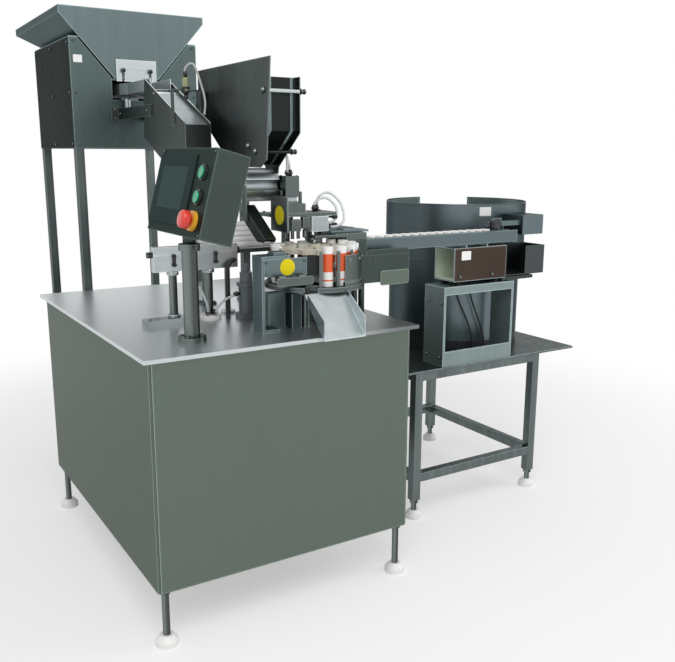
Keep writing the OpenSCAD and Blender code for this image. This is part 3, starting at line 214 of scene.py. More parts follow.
def split(tree, vector):
    node = tree.nodes.new("ShaderNodeSeparateXYZ")
    tree.links.new(vector, node.inputs[0])
    return node.outputs


def brushed_group():
    """Fine lines of a brushed sheet, drawn out along one direction, with broader streaks among them"""
    tree, given, out = new_group("Brushed lines", [("Stretch", "Vector", (1, 1, 1)), ("Fineness", "Float", 700.0)],
                                 ["Lines", "Streaks"])
    pulled = vector_math(tree, "MULTIPLY", coordinate(tree), given["Stretch"])["Vector"]
    coarse = math_node(tree, "MULTIPLY", given["Fineness"], 0.06)
    tree.links.new(noise(tree, pulled, given["Fineness"], 3), out["Lines"])
    tree.links.new(noise(tree, pulled, coarse, 2), out["Streaks"])
    return tree


def handling_group():
    """Cloudy patches from wiping and handling, and small spots"""
    tree, given, out = new_group("Handling marks", [("Size", "Float", 4.0)], ["Cloud", "Spots"])
    place = coordinate(tree)
    tree.links.new(noise(tree, place, given["Size"], 5), out["Cloud"])
    spots = noise(tree, place, math_node(tree, "MULTIPLY", given["Size"], 14.0), 2)
    sharp = math_node(tree, "MULTIPLY", math_node(tree, "SUBTRACT", spots, 0.56), 9.0)
    tree.links.new(math_node(tree, "MINIMUM", math_node(tree, "MAXIMUM", sharp, 0.0), 1.0), out["Spots"])
    return tree


def moulded_group():
    """Fine even grain of moulded plastic or sprayed paint"""
    tree, given, out = new_group("Moulded grain", [("Fineness", "Float", 900.0)], ["Grain"])
    tree.links.new(noise(tree, coordinate(tree), given["Fineness"], 2), out["Grain"])
    return tree


def zone_group():
    """One inside a box between two corners of the frame, and zero outside it"""
    tree, given, out = new_group("Zone", [("Low", "Vector", (0, 0, 0)), ("High", "Vector", (1, 1, 1))], ["Inside"])
    place, low, high = (split(tree, vector) for vector in (coordinate(tree), given["Low"], given["High"]))
    inside = 1.0
    for axis in range(3):
        both = math_node(tree, "MULTIPLY", math_node(tree, "GREATER_THAN", place[axis], low[axis]),
                         math_node(tree, "LESS_THAN", place[axis], high[axis]))
        inside = math_node(tree, "MULTIPLY", inside, both)
    tree.links.new(inside, out["Inside"])
    return tree


def fade_group():
    """Zero before a start along X and one after an end, with a smooth rise between them"""
    tree, given, out = new_group("Fade", [("Start", "Float", 0.0), ("End", "Float", 1.0)], ["Far"])
    along = split(tree, coordinate(tree))[0]
    tree.links.new(map_range(tree, along, given["Start"], given["End"], kind="SMOOTHSTEP"), out["Far"])
    return tree


def edge_highlight_group():
    """One on the edges of a sheet or block, where a highlight is painted, and zero on its faces"""
    tree, given, out = new_group("Painted edge highlight", [("Width", "Float", 0.005)], ["Edge"])
    soft = tree.nodes.new("ShaderNodeBevel")
    soft.samples = 4
    tree.links.new(given["Width"], soft.inputs["Radius"])
    plain = tree.nodes.new("ShaderNodeNewGeometry").outputs["Normal"]
    angle = vector_math(tree, "DOT_PRODUCT", plain, soft.outputs["Normal"])["Value"]
    tree.links.new(map_range(tree, angle, 0.98, 0.8, kind="SMOOTHSTEP"), out["Edge"])
    return tree


def facing_highlight_group():
    """One where a surface faces a direction, falling off to zero as it turns away; the mask of a painted highlight"""
    tree, given, out = new_group("Facing", [("Direction", "Vector", (0, 0, 1))], ["Toward"])
    angle = vector_math(tree, "DOT_PRODUCT", coordinate(tree, "Normal"), given["Direction"])["Value"]
    tree.links.new(map_range(tree, angle, 0.55, 0.95, kind="SMOOTHSTEP"), out["Toward"])
    return tree


# Finishes

GROUPS = {}
FINISHES = {}


def placed(tree, group, **values):
    node = tree.nodes.new("ShaderNodeGroup")
    node.node_tree = GROUPS[group]
    for label, value in values.items():
        node.inputs[label].default_value = value
    return node.outputs


def tint(rgb, share):
    return tuple(min(1.0, c * share) for c in rgb) + (1.0,)


def blend_colours(tree, factor, first, second):
    node = tree.nodes.new("ShaderNodeMix")
    node.data_type = "RGBA"
    for label, value in (("Factor", factor), ("A", first), ("B", second)):
        feed(tree, node.inputs[label], value)
    return node.outputs["Result"]


def start_finish(name, metallic, coat=0.0):
    material = bpy.data.materials.new(name)
    material.use_nodes = True
    shader = material.node_tree.nodes["Principled BSDF"]
    shader.inputs["Metallic"].default_value = metallic
    shader.inputs["Coat Weight"].default_value = coat
    FINISHES[name] = material
    return material.node_tree, shader


def bump(tree, shader, height, strength):
    node = tree.nodes.new("ShaderNodeBump")
    node.inputs["Strength"].default_value = strength
    node.inputs["Distance"].default_value = 0.2 * MM
    tree.links.new(height, node.inputs["Height"])
    tree.links.new(node.outputs["Normal"], shader.inputs["Normal"])


def brushed(name, rgb, rough, stretch, fineness=700.0, vary=0.12, depth=0.12, skim=0.36, spots=0.06,
            grain=0.3, edge=2.6):
    """Brushed or ground metal: fine lines, broad streaks, wiped patches, a few spots and a painted highlight on the
    edges.

    skim is the tint of a skimming view, and edge says how much lighter than the faces the painted edge highlight is.
    """
    tree, shader = start_finish(name, 1.0)
    shader.inputs["Specular Tint"].default_value = (skim, skim, skim, 1)
    lines = placed(tree, "Brushed lines", Stretch=stretch, Fineness=fineness)
    marks = placed(tree, "Handling marks", Size=3.5)
    mixed = math_node(tree, "ADD", math_node(tree, "MULTIPLY", lines["Streaks"], 0.5),
                      math_node(tree, "MULTIPLY", marks["Cloud"], 0.5))
    base = blend_colours(tree, spread(tree, mixed, 0.0, 1.0), tint(rgb, 1 - vary), tint(rgb, 1 + vary))
    base = blend_colours(tree, spread(tree, lines["Lines"], 0.0, grain), base, tint(rgb, 0.72))
    # Painted highlight: the edges are lighter than the faces, by the share edge
    if edge > 1:
        base = blend_colours(tree, placed(tree, "Painted edge highlight")["Edge"], base, tint(rgb, edge))
    tree.links.new(base, shader.inputs["Base Color"])
    worn = math_node(tree, "ADD", spread(tree, lines["Lines"], rough - 0.2 * grain, rough + 0.26 * grain),
                     math_node(tree, "MULTIPLY", marks["Spots"], spots))
    tree.links.new(worn, shader.inputs["Roughness"])
    bump(tree, shader, lines["Lines"], depth)
    return tree, shader, base


def moulded(name, rgb, rough, fineness=900.0, vary=0.06, coat=0.0, depth=0.08, gloss=0.5):
    """Moulded plastic or paint: fine grain, faint clouding and handled patches"""
    tree, shader = start_finish(name, 0.0, coat)
    shader.inputs["Specular IOR Level"].default_value = gloss
    grain = placed(tree, "Moulded grain", Fineness=fineness)
    marks = placed(tree, "Handling marks", Size=9.0)
    base = blend_colours(tree, spread(tree, marks["Cloud"], 0.0, 1.0), tint(rgb, 1 - vary), tint(rgb, 1 + vary))
    tree.links.new(base, shader.inputs["Base Color"])
    tree.links.new(spread(tree, marks["Cloud"], rough - 0.05, rough + 0.07), shader.inputs["Roughness"])
    bump(tree, shader, grain["Grain"], depth)
    return tree, shader, base


def over(tree, shader, base, mask, rgba):
    """Lays another colour over the base where the mask is one"""
    mixed = blend_colours(tree, mask, base, rgba)
    tree.links.new(mixed, shader.inputs["Base Color"])
    return tree, shader, mixed


def zoned(finish, low, high, rgb):
    """Gives the part of a finish inside a box another colour"""
    inside = placed(finish[0], "Zone", Low=tuple(low), High=tuple(high))["Inside"]
    return over(*finish, inside, tint(rgb, 1.0))


def highlighted(finish, direction, rgba):
    """Paints a highlight: a lighter colour on the part of a finish that faces a direction"""
    return over(*finish, placed(finish[0], "Facing", Direction=direction)["Toward"], rgba)


LEFT = (-1, 0, 0)
RIGHT = (1, 0, 0)
FRONT = (0, -1, 0)
BACK = (0, 1, 0)
UP = (0, 0, 1)
DOWN = (0, 0, -1)

# Directions in which the brushed lines run
UPRIGHT = (1.0, 1.0, 0.03)
ACROSS = (0.03, 1.0, 1.0)
ROUND = (0.06, 0.06, 1.0)
ALONG = (1.0, 0.03, 1.0)

# Zones of other colours on a finish, between two corners in millimetres, and a place beyond the machine in metres
# Painted shade inside the tube bin
BIN_INSIDE_SHADE = (408.2, 200, 1120), (506.8, 345, 1420)
INFEED_BASE_BAR = (100, 330, 719), (300, 400, 736.5)
FILL_CYLINDER = (505, 280, 1046), (560, 336, 1106)
# Painted shade on the table top: it starts to darken at the first place along X, fully by the second
TABLE_SHADE_X = (430, 720)
CATCH_TRAY = (1312, 0, 700)
BEYOND = 2


def corners(zone):
    return at(*zone[0]), at(*zone[1])


def layer(low, high):
    """Corners of a zone over the whole machine between two heights in metres"""
    return (-BEYOND, -BEYOND, low), (BEYOND, BEYOND, high)


def make_sheets(tones):
    brushed("cover_sheet", tones.cover, 0.42, UPRIGHT, vary=0.025, depth=0.05, skim=0.66, spots=0.02, grain=0.1)
    brushed("tower_sheet", tones.tower, 0.38, UPRIGHT)
    brushed("hopper_sheet", tones.hopper, 0.38, UPRIGHT)
    brushed("case_sheet", tones.case, 0.38, UPRIGHT, vary=0.08)
    bin_sheet = brushed("bin_sheet", tones.bin, 0.36, UPRIGHT, vary=0.2, skim=0.6)
    # Painted shade inside the tube bin: half the colour of the shade tone
    zoned(bin_sheet, *corners(BIN_INSIDE_SHADE), tint(tones.shade, 0.5)[:3])
    brushed("station_sheet", tones.station, 0.36, UPRIGHT, vary=0.16, skim=0.5)
    brushed("outfeed_sheet", tones.outfeed, 0.3, ALONG, vary=0.2, depth=0.06, spots=0.02, edge=1.5)
    # Painted shade: the same brushed steel, darker, for sheets in shade such as the tower's side and rear covers
    brushed("shaded_sheet", tones.shade, 0.34, UPRIGHT, vary=0.2)
    feeder = brushed("feeder_sheet", tones.drum, 0.33, ROUND, vary=0.14)
    # Painted highlight on the bowl's housing, lighter where it faces the front, a little to the left
    highlighted(feeder, (-0.34, -0.94, 0), tint(tones.drum, 1.55))
    brushed("drive_cover", tones.copper, 0.35, UPRIGHT, vary=0.2)
    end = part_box("track_drive")[1] + Vector((0.1, 0.1, 0.1))
    zoned(brushed("drive_sheet", tones.stand, 0.36, UPRIGHT, skim=0.6), at(*CATCH_TRAY), end, tones.tray)
    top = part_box("track_stand")[1].z
    mounts = layer(top - 13.9 * MM, top + 1 * MM)
    zoned(brushed("stand_sheet", tones.stand, 0.5, UPRIGHT, skim=1.0), *mounts, tones.black)


def make_bars(tones):
    brushed("bench_steel", tones.bench, 0.36, ALONG, vary=0.03, depth=0.01, spots=0.0, skim=0.8, grain=0.08, edge=1.2)
    table = brushed("table_steel", tones.bench, 0.34, ALONG, vary=0.03, depth=0.0, spots=0.0, skim=0.95, grain=0.08,
                    edge=1)
    start, end = (at(x, 0, 0).x for x in TABLE_SHADE_X)
    # Painted shade: the table top is darker towards its right end
    over(*table, placed(table[0], "Fade", Start=start, End=end)["Far"], tint(tones.bench, 0.32))
    brushed("frame_tube", tones.pipe, 0.32, UPRIGHT, vary=0.5, skim=0.5, edge=1.3)
    bar = brushed("round_bar", tones.bar, 0.26, ROUND, fineness=1400.0, skim=0.6, depth=0.0, grain=0.05, spots=0.0,
                  edge=1)
    # Painted highlight: the bars are lighter on the side that faces left, front and up, and on their tops
    band, top = (placed(bar[0], "Facing", Direction=way)["Toward"] for way in ((-0.75, -0.5, 0.43), UP))
    bar = over(*bar, math_node(bar[0], "MAXIMUM", band, top), tint(tones.bar, 2.5))
    zoned(bar, *corners(INFEED_BASE_BAR), tones.alloy)
    alloy = brushed("milled_alloy", tones.alloy, 0.36, ACROSS, fineness=1200.0, skim=0.6)
    zoned(alloy, *corners(FILL_CYLINDER), tones.station)
    brushed("pale_plate", tones.pale, 0.36, ACROSS, fineness=1200.0, vary=0.06, skim=0.7)
    brushed("track_bar", tones.lane, 0.34, ACROSS, vary=0.1)


def make_plastics(tones):
    moulded("liner_paint", tones.liner, 0.5)
    moulded("white_plastic", tones.white, 0.45)
    dial_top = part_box("index_dial")[1].z
    zoned(moulded("cream_plastic", tones.cream, 0.4), *layer(0, dial_top - 20 * MM), tones.station)
    moulded("motor_paint", tones.motor, 0.4)
    moulded("plate_paint", tones.plate, 0.45)
    moulded("black_plastic", tones.black, 0.42, vary=0.25)
    moulded("panel_frame", tones.bezel, 0.38, vary=0.12, gloss=0.0)
    moulded("panel_screen", tones.screen, 0.3, depth=0.0, gloss=0.0)
    moulded("green_plastic", tones.green, 0.25, coat=0.3)
    moulded("red_plastic", tones.red, 0.28, coat=0.3)
    moulded("yellow_plastic", tones.yellow, 0.35)
    moulded("disc_film", tones.disc, 0.4, gloss=0.1)
    moulded("sensor_body", tones.sensor, 0.4)
    moulded("tablet", tones.tablet, 0.7, fineness=1500.0, depth=0.2)
    moulded("label_film", tones.white, 0.35, vary=0.03)
    tube = moulded("printed_tube", tones.white, 0.3, coat=0.2)
    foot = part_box("loaded_tubes")[0].z
    for low, high in ((37.5, 84.5), (14, 18)):
        tube = zoned(tube, *layer(foot + low * MM, foot + high * MM), tones.orange)
    hose = moulded("milky_hose", tones.hose, 0.3)
    hose[1].inputs["Transmission Weight"].default_value = 0.35
    sheath = moulded("cable_sheath", tones.black, 0.5, vary=0.2)
    zoned(sheath, *layer(1.2, BEYOND), tones.sheath)


def make_finishes(tones):
    for make in (brushed_group, fade_group, facing_highlight_group, edge_highlight_group, handling_group, moulded_group, zone_group):
        group = make()
        GROUPS[group.name] = group
    make_sheets(tones)
    make_bars(tones)
    make_plastics(tones)


NODE_FINISH = {
    "cover_sheet": "front_panel left_panel right_panel rear_panel floor_pan",
    "tower_sheet": "tower_front",
    "hopper_sheet": "tablet_hopper front_bracket",
    "case_sheet": "control_box cap_bracket",
    # The shaded sheet is painted shade on the tower's side and rear covers
    "shaded_sheet": "tower_panels tube_chute",
    "bin_sheet": "tube_bin tablet_chute",
    "station_sheet": "capping_bridge dial_base",
    "outfeed_sheet": "discharge_chute",
    "table_steel": "table_plate",
    "bench_steel": "feeder_tray cap_bowl",
    "frame_tube": "base_frame tower_frame bin_posts feeder_table",
    "round_bar": "levelling_stems control_column infeed_stand pusher_rod filling_ram capping_ram",
    "milled_alloy": "sorting_drum tablet_rack air_cylinders",
    "pale_plate": "chute_flap gate_plate infeed_plate",
    "track_bar": "cap_track",
    "feeder_sheet": "bowl_housing",
    "drive_sheet": "track_drive",
    "stand_sheet": "track_stand",
    "white_plastic": "foot_pads hose_stand track_caps",
    "cream_plastic": "index_dial",
    "motor_paint": "index_drive feeder_drive feed_motor",
    "plate_paint": "electric_plate",
    "black_plastic": "button_rings bowl_drive star_knob",
    "panel_frame": "hmi_panel",
    "green_plastic": "start_button reset_button",
    "red_plastic": "estop_button",
    "yellow_plastic": "estop_collar",
    "sensor_body": "level_sensor",
    "printed_tube": "loaded_tubes",
    "milky_hose": "air_hoses",
    "cable_sheath": "cables",
}

# Sheet and block nodes, whose edges are rounded; turned nodes keep the edges that they come with
ROUNDED = set("""
    front_panel left_panel right_panel rear_panel table_plate control_box hmi_panel tower_front tower_panels
    tablet_hopper gate_plate feeder_tray tablet_chute chute_flap tube_bin bin_posts tube_chute tablet_rack
    infeed_plate front_bracket air_cylinders cap_bracket discharge_chute feeder_table track_stand track_drive
    cap_track base_frame tower_frame electric_plate feeder_drive
""".split())

# Finishes of bent tubes and sheets, whose edges are this much wider than cut ones
WIDE_EDGED = ("frame_tube", "cover_sheet")
WIDE_EDGE = 2.5


def round_edges(node, width):
    weld = node.modifiers.new("Join faces", "WELD")
    weld.merge_threshold = 0.02 * MM
    edge = node.modifiers.new("Rounded edges", "BEVEL")
    edge.width = width
    edge.segments = 2
    edge.limit_method = "ANGLE"
    edge.angle_limit = math.radians(50)
    edge.use_clamp_overlap = True
    edge.harden_normals = True


# Small pieces as meshes; each form takes its places and sizes in millimetres


def loft(bm, rows):
    """Joins closed rows of corners into a tube with both its ends closed"""
    for first, second in zip(rows, rows[1:]):
        for i in range(len(first)):
            j = (i + 1) % len(first)
            bm.faces.new((first[i], first[j], second[j], second[i]))
    bm.faces.new(rows[0][::-1])
    bm.faces.new(rows[-1])


def turned(bm, spot, axis, profile, sides=24):
    """Turns a profile of [radius, height] about an axis from its foot"""
    foot = at(*spot)
    axis = Vector(axis).normalized()
    side = axis.orthogonal().normalized()
    other = axis.cross(side)
    rings = []
    for radius, height in profile:
        middle = foot + axis * height * MM
        if radius == 0:
            rings.append([bm.verts.new(middle)])
            continue
        rings.append([bm.verts.new(middle + (side * math.cos(a) + other * math.sin(a)) * radius * MM)
                      for a in (math.tau * i / sides for i in range(sides))])
    for lower, upper in zip(rings, rings[1:]):
        for i in range(sides):
            j = (i + 1) % sides
            ends = [lower[i % len(lower)], lower[j % len(lower)], upper[j % len(upper)], upper[i % len(upper)]]
            bm.faces.new(list(dict.fromkeys(ends)))
    if len(rings[0]) > 1:
        bm.faces.new(rings[0][::-1])
    if len(rings[-1]) > 1:
        bm.faces.new(rings[-1])


def brick(bm, low, high):
    """Box between two corners"""
    ends = [bm.verts.new(at(*spot)) for spot in product(*zip(low, high))]
    for face in ((0, 1, 3, 2), (4, 6, 7, 5), (0, 4, 5, 1), (2, 3, 7, 6), (0, 2, 6, 4), (1, 5, 7, 3)):
        bm.faces.new([ends[i] for i in face])


def round_corners(low, high, radius, steps=5):
    """Outline of a rectangle between two [u, v] places, with round corners"""
    (u0, v0), (u1, v1) = [a + radius for a in low], [a - radius for a in high]
    return [(u + radius * math.cos(a), v + radius * math.sin(a))
            for turn, (u, v) in enumerate(((u1, v1), (u0, v1), (u0, v0), (u1, v0)))
            for a in (math.pi / 2 * (turn + i / steps) for i in range(steps + 1))]


def plate(bm, low, high, radius):
    """Plate between two corners, with round corners in its plane"""
    thin = min(range(3), key=lambda i: high[i] - low[i])
    u, v = [i for i in range(3) if i != thin]
    rows = []
    for level in (low[thin], high[thin]):
        row = []
        for a, b in round_corners((low[u], low[v]), (high[u], high[v]), radius):
            spot = [level] * 3
            spot[u], spot[v] = a, b
            row.append(bm.verts.new(at(*spot)))
        rows.append(row)
    loft(bm, rows)


def strip(bm, left, right, path, thick=2):
    """Flat strip between two X places, bent along a path of [y, z], with its thickness in front"""
    rows = []
    for i, (y, z) in enumerate(path):
        a, b = path[max(i - 1, 0)], path[min(i + 1, len(path) - 1)]
        run = Vector((0, b[0] - a[0], b[1] - a[1])).normalized()
        out = Vector((0, run.z, -run.y)) * thick
        rows.append([bm.verts.new(at(x, y + k * out.y, z + k * out.z))
                     for x, k in ((left, 0), (right, 0), (right, 1), (left, 1))])
    loft(bm, rows)


def swept(bm, centre, section, start, end, steps, rise=0):
    """Sweeps a section of [radius, height] round an upright axis between two angles in degrees"""
    rows = []
    for i in range(steps + 1):
        a = math.radians(start + (end - start) * i / steps)
        rows.append([bm.verts.new(at(centre[0] + r * math.cos(a), centre[1] + r * math.sin(a), z + rise * i / steps))
                     for r, z in section])
    loft(bm, rows)


def carried(name, data, finish, body):
    """Makes an object of a mesh or curve, with its finish and slot, and lets it ride on a body"""
    data.materials.append(FINISHES[finish])
    made = bpy.data.objects.new(name, data)
    bpy.context.scene.collection.objects.link(made)
    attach(made, body)
    return made


def build(name, finish, forms, body="base", edge=0.0, flat=False):
    """Makes a piece of its forms, each given as a function and what it takes, with edges rounded by edge"""
    bm = bmesh.new()
    for form, *sizes in forms:
        form(bm, *sizes)
    bmesh.ops.recalc_face_normals(bm, faces=bm.faces)
    mesh = bpy.data.meshes.new(name)
    bm.to_mesh(mesh)
    bm.free()
    for face in mesh.polygons:
        face.use_smooth = not flat
    made = carried(name, mesh, finish, body)
    if edge:
        rounding = made.modifiers.new("Rounded edges", "BEVEL")
        rounding.width = edge * MM
        rounding.segments = 2
        rounding.limit_method = "ANGLE"
        rounding.angle_limit = math.radians(40)
    even = made.modifiers.new("Even shading", "WEIGHTED_NORMAL")
    even.keep_sharp = False
    return made


def screw_profile(d):
    """Round head with a hexagon socket's recess"""
    r = d / MM / 2
    return [(r, 0), (r, r * 0.35), (r * 0.8, r * 0.62), (r * 0.45, r * 0.7), (r * 0.42, r * 0.3), (0, r * 0.25)]


def bolt_profile(d):
    """Washer, six-sided head's height and a chamfer, turned"""
    r = d / MM / 2
    return [(r * 1.35, 0), (r * 1.35, r * 0.25), (r, r * 0.26), (r, r * 0.85), (r * 0.85, r), (0, r)]


def bricks(*boxes):
    """Forms of boxes, each between two corners"""
    return [(brick, *box) for box in boxes]


def screws(name, spots, axis, d, body="base", profile=screw_profile, sides=16):
    """Heads of d metres across on the spots"""
    return build(name, "round_bar", [(turned, spot, axis, profile(d), sides) for spot in spots], body)


def around(centre, radius, z, angles):
    """Spots on a level circle, at angles in degrees"""
    return [(centre[0] + radius * math.cos(a), centre[1] + radius * math.sin(a), z)
            for a in map(math.radians, angles)]


def square(middle, half):
    """Four spots round a middle"""
    x, y, z = middle
    return product((x - half, x + half), (y - half, y + half), (z,))


# Places on the machine: levels, faces and axes that several pieces share
TABLE_Z = 720  # top of the table
TOWER_X = (147, 569)  # left and right of the tablet tower
TOWER_Y = (1027, 1505)  # its front and rear
CHUTE_X = (299.2, 371.8)  # between the tablet chute's sides
SENSOR = (335.5, 542, 1331)  # foot of the level sensor's barrel
BIN_X = (405, 510)  # outer faces of the tube bin's side plates
TIE_RODS = ((205, 1318), (255, 1168))  # [y, z] of the rods through the bin
DRUM_AXIS = (356, 1080)  # [y, z] of the sorting drum
COLUMN = (168, 134)  # axis of the control column
POST_Y = 365  # posts under the tablet pusher
BASE_BAR_Z = 735  # top of the bar that they stand on
DIAL = (552, 205)  # axis of the index dial
BRIDGE_Z = 1004  # top of the capping bridge
BRACKET_Y = 108  # front of the bracket at the dial
CAP_PANEL_Y = 236  # front of the capping bracket's panel
DRIVE_Y = 266.6  # front of the track drive's cover
STAND_X = (1059, 1352)  # left and right of the track's stand
BOWL = (1391, 625)  # axis of the cap bowl


class TF_OT_finishes(bpy.types.Operator):
    """Gives every solid of the frame its finish and rounds its edges"""

    bl_idname = "tubefiller.finishes"
    bl_label = "Finishes"

    def execute(self, context):
        make_finishes(context.scene.tf_finishes)
        edge = context.scene.tf_fittings.edge
        for finish, names in NODE_FINISH.items():
            for name in names.split():
                node = NODES[name]
                node.data.materials.clear()
                node.data.materials.append(FINISHES[finish])
                if name in ROUNDED:
                    round_edges(node, edge * WIDE_EDGE if finish in WIDE_EDGED else edge)
        return {"FINISHED"}


def smooth_route(stops, steps=10):
    """Points of a smooth line through the stops of a route"""
    points = []
    last = len(stops) - 1
    for i in range(last * steps + 1):
        k = min(i // steps, last - 1)
        t = i / steps - k
        p, q, r, s = (Vector(stops[j]) for j in (max(k - 1, 0), k, k + 1, min(k + 2, last)))
        points.append(0.5 * (2 * q + (r - p) * t + (2 * p - 5 * q + 4 * r - s) * t * t
                             + (3 * q - p - 3 * r + s) * t ** 3))
    return points


# Places that the hoses and cables start from and lead to
FILL_TOP = (531.5, 308, 1104)
CLOSE_SIDE = (637.3, 292.3, 994)
BRIDGE_TOP = (672, 376, BRIDGE_Z)
BIN_SIDE = (BIN_X[1], DRUM_AXIS[0], 1128)
VALVE_TOP = (312, 365, 733)
PUSH_UNDER = (156, 356, 858)
MOTOR = (401, 317, TABLE_Z)
SENSOR_TOP = (335.5, 542, 1380.7)
CHUTE_SIDE = (371.5, 542, 1280.7)
DRIVE_BACK = (1095, 366, 770.3)
STAND_BACK = (STAND_X[0], 366, 500)


def route(*stretches):
    """Points of a route, given as steps from the place where each stretch starts or ends"""
    return [Vector(place) + Vector(step) for place, steps in stretches for step in steps]


HOSES = [
    route((FILL_TOP, [(10, 10, -1), (12, 20, 31), (14, 48, 64)]),
          (BIN_SIDE, [(34, 34, 28), (20, 52, 38), (-1, 54, 40)])),
    route((FILL_TOP, [(-10, -8, -1), (-10, -10, 36), (-4, 10, 78)]),
          (BIN_SIDE, [(26, -4, 48), (18, 20, 62), (-1, 22, 64)])),
    route((CLOSE_SIDE, [(-1, 8, -20), (25, 6, -20), (47, 12, -4), (51, 30, 26)]),
          (BRIDGE_TOP, [(-4, -36, 36), (-36, -34, 26), (-42, -34, -1)])),
    route((CLOSE_SIDE, [(-1, -8, -30), (31, -14, -30), (59, -8, -12), (65, 22, 32)]),
          (BRIDGE_TOP, [(12, -26, 50), (-16, -16, 36), (-22, -16, -1)])),
    route((VALVE_TOP, [(-14, -21, -2), (-16, -27, 23), (-28, -29, 57)]),
          (PUSH_UNDER, [(112, -10, -29), (106, 2, 1)])),
    route((VALVE_TOP, [(6, -25, -2), (10, -35, 23), (30, -41, 43)]), (MOTOR, [(-39, 1, 66), (-19, 0, 70)])),
]
CABLES = [
    route((SENSOR_TOP, [(-1, 0, -7), (0, -4, 14), (20, -14, 22)]),
          (CHUTE_SIDE, [(2, -26, 62), (6, -36, 20), (0.5, -40, -12)])),
    route((DRIVE_BACK, [(168, -2, 43), (166, 22, 19), (174, 22, -67)]),
          (STAND_BACK, [(254, 14, 90), (276, 16, 30), (284, 18, -1)])),
    route((DRIVE_BACK, [(98, -2, 43), (96, 22, 13), (118, 26, -67)]),
          (STAND_BACK, [(204, 20, 100), (228, 20, 30), (234, 20, -1)])),
]


def lines(name, routes, d, finish):
    """Smooth curves of d metres across along the routes"""
    curve = bpy.data.curves.new(name, "CURVE")
    curve.dimensions = "3D"
    curve.bevel_depth = d / 2
    curve.bevel_resolution = 4
    curve.use_fill_caps = True
    for points in map(smooth_route, routes):
        spline = curve.splines.new("POLY")
        spline.points.add(len(points) - 1)
        for knot, point in zip(spline.points, points):
            knot.co = (*at(*point), 1)
        spline.use_smooth = True
    return carried(name, curve, finish, "base")


class TF_OT_lines(bpy.types.Operator):
    """Lays the air hoses and cables along their routes, with their end fittings"""

    bl_idname = "tubefiller.lines"
    bl_label = "Hoses and cables"

    def execute(self, context):
        sizes = context.scene.tf_fittings
        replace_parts(lines("hose_set", HOSES, sizes.hose_d, "milky_hose"), "air_hoses")
        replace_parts(lines("cable_set", CABLES, sizes.cable_d, "cable_sheath"), "cables")
        nut = [(4.6, -1), (4.6, 5), (7, 5.2), (7, 10), (5, 11), (5, 16), (3.6, 16.5)]
        gland = [(9, -1), (9, 4), (7.5, 4.2), (7.5, 11), (5, 14), (3.2, 15)]
        hose_ends = {
            UP: ((542, 318, FILL_TOP[2]), (522, 300, FILL_TOP[2]), (630, 342, BRIDGE_Z), (650, 360, BRIDGE_Z),
                 (298, 344, VALVE_TOP[2]), (318, 340, VALVE_TOP[2])),
            RIGHT: ((637, 300, 974), (637, 284, 964), (BIN_X[1], 410, 1168), (BIN_X[1], 378, 1192)),
            DOWN: ((262, 358, PUSH_UNDER[2]),),
            LEFT: ((380, 317, 790),),
        }
        cable_ends = {BACK: ((1263, 366, 813), (1193, 366, 813)), UP: ((1343, 384, 500), (1293, 386, 500))}
        for name, ends, profile in (("hose_fittings", hose_ends, nut), ("cable_glands", cable_ends, gland)):
            build(name, "black_plastic", [(turned, spot, axis, profile) for axis in ends for spot in ends[axis]])
        return {"FINISHED"}


# The control face, tilted back; its places are from its middle
TILT = math.radians(15)
FACE_MIDDLE = (195, 148, 1066.88)
FACE_OUT = 40
OUTWARD = (-math.cos(TILT), 0, math.sin(TILT))
PANEL_W, PANEL_H = 224, 166
PANEL_Y = 48  # middle of the touch panel
BUTTON_Y = -116  # row of the buttons


def on_face(y, z, out):
    """A place on the tilted control face, from its middle and in front of it"""
    x = -FACE_OUT - out
    return (FACE_MIDDLE[0] + x * math.cos(TILT) + z * math.sin(TILT), FACE_MIDDLE[1] + y,
            FACE_MIDDLE[2] - x * math.sin(TILT) + z * math.cos(TILT))


def face_plate(bm, outline, back, front):
    """Flat plate with an outline of [y, z] on the control face"""
    loft(bm, [[bm.verts.new(at(*on_face(y, z, out))) for y, z in outline] for out in (back, front)])


class TF_OT_control(bpy.types.Operator):
    """Screen, button heads and screws of the control box"""

    bl_idname = "tubefiller.control"
    bl_label = "Control box"

    def execute(self, context):
        half = PANEL_W * 0.36
        screen = round_corners((PANEL_Y - half, 2 - PANEL_H * 0.28), (PANEL_Y + half, 2 + PANEL_H * 0.34), 5, 4)
        build("panel_screen", "panel_screen", [(face_plate, screen, 4.05, 4.35)], "control_head", flat=True)
        button = [(14, 0), (14, 4.4), (13.2, 5.4), (11.5, 5.6), (10.5, 4.8), (0, 4.6)]
        for name, z in (("start", 46), ("reset", -10)):
            forms = [(turned, on_face(BUTTON_Y, z, 3.4), OUTWARD, button, 40)]
            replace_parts(build(name + "_head", "green_plastic", forms, name), name + "_button")
        mushroom = [(8, -22), (8, 13.3), (17, 13.5), (20.5, 15), (21.2, 18), (20.6, 27), (19.2, 31), (16, 32.8),
                    (8, 33.6), (0, 33.8)]
        forms = [(turned, on_face(BUTTON_Y, -64, 0), OUTWARD, mushroom, 48)]
        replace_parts(build("stop_head", "red_plastic", forms, "stop"), "estop_button")
        box_corners = [on_face(y, z, 0) for y in (-158, 158) for z in (-94, 94)]
        screws("box_screws", box_corners, OUTWARD, 0.006, "control_head", sides=14)
        spots = [(spot, UP) for spot in around(COLUMN, 26.5, 732, range(45, 360, 90))]
        spots.append(((COLUMN[0], COLUMN[1] - 25, 947), FRONT))
        build("column_screws", "round_bar", [(turned, *spot, screw_profile(0.009), 14) for spot in spots])
        return {"FINISHED"}


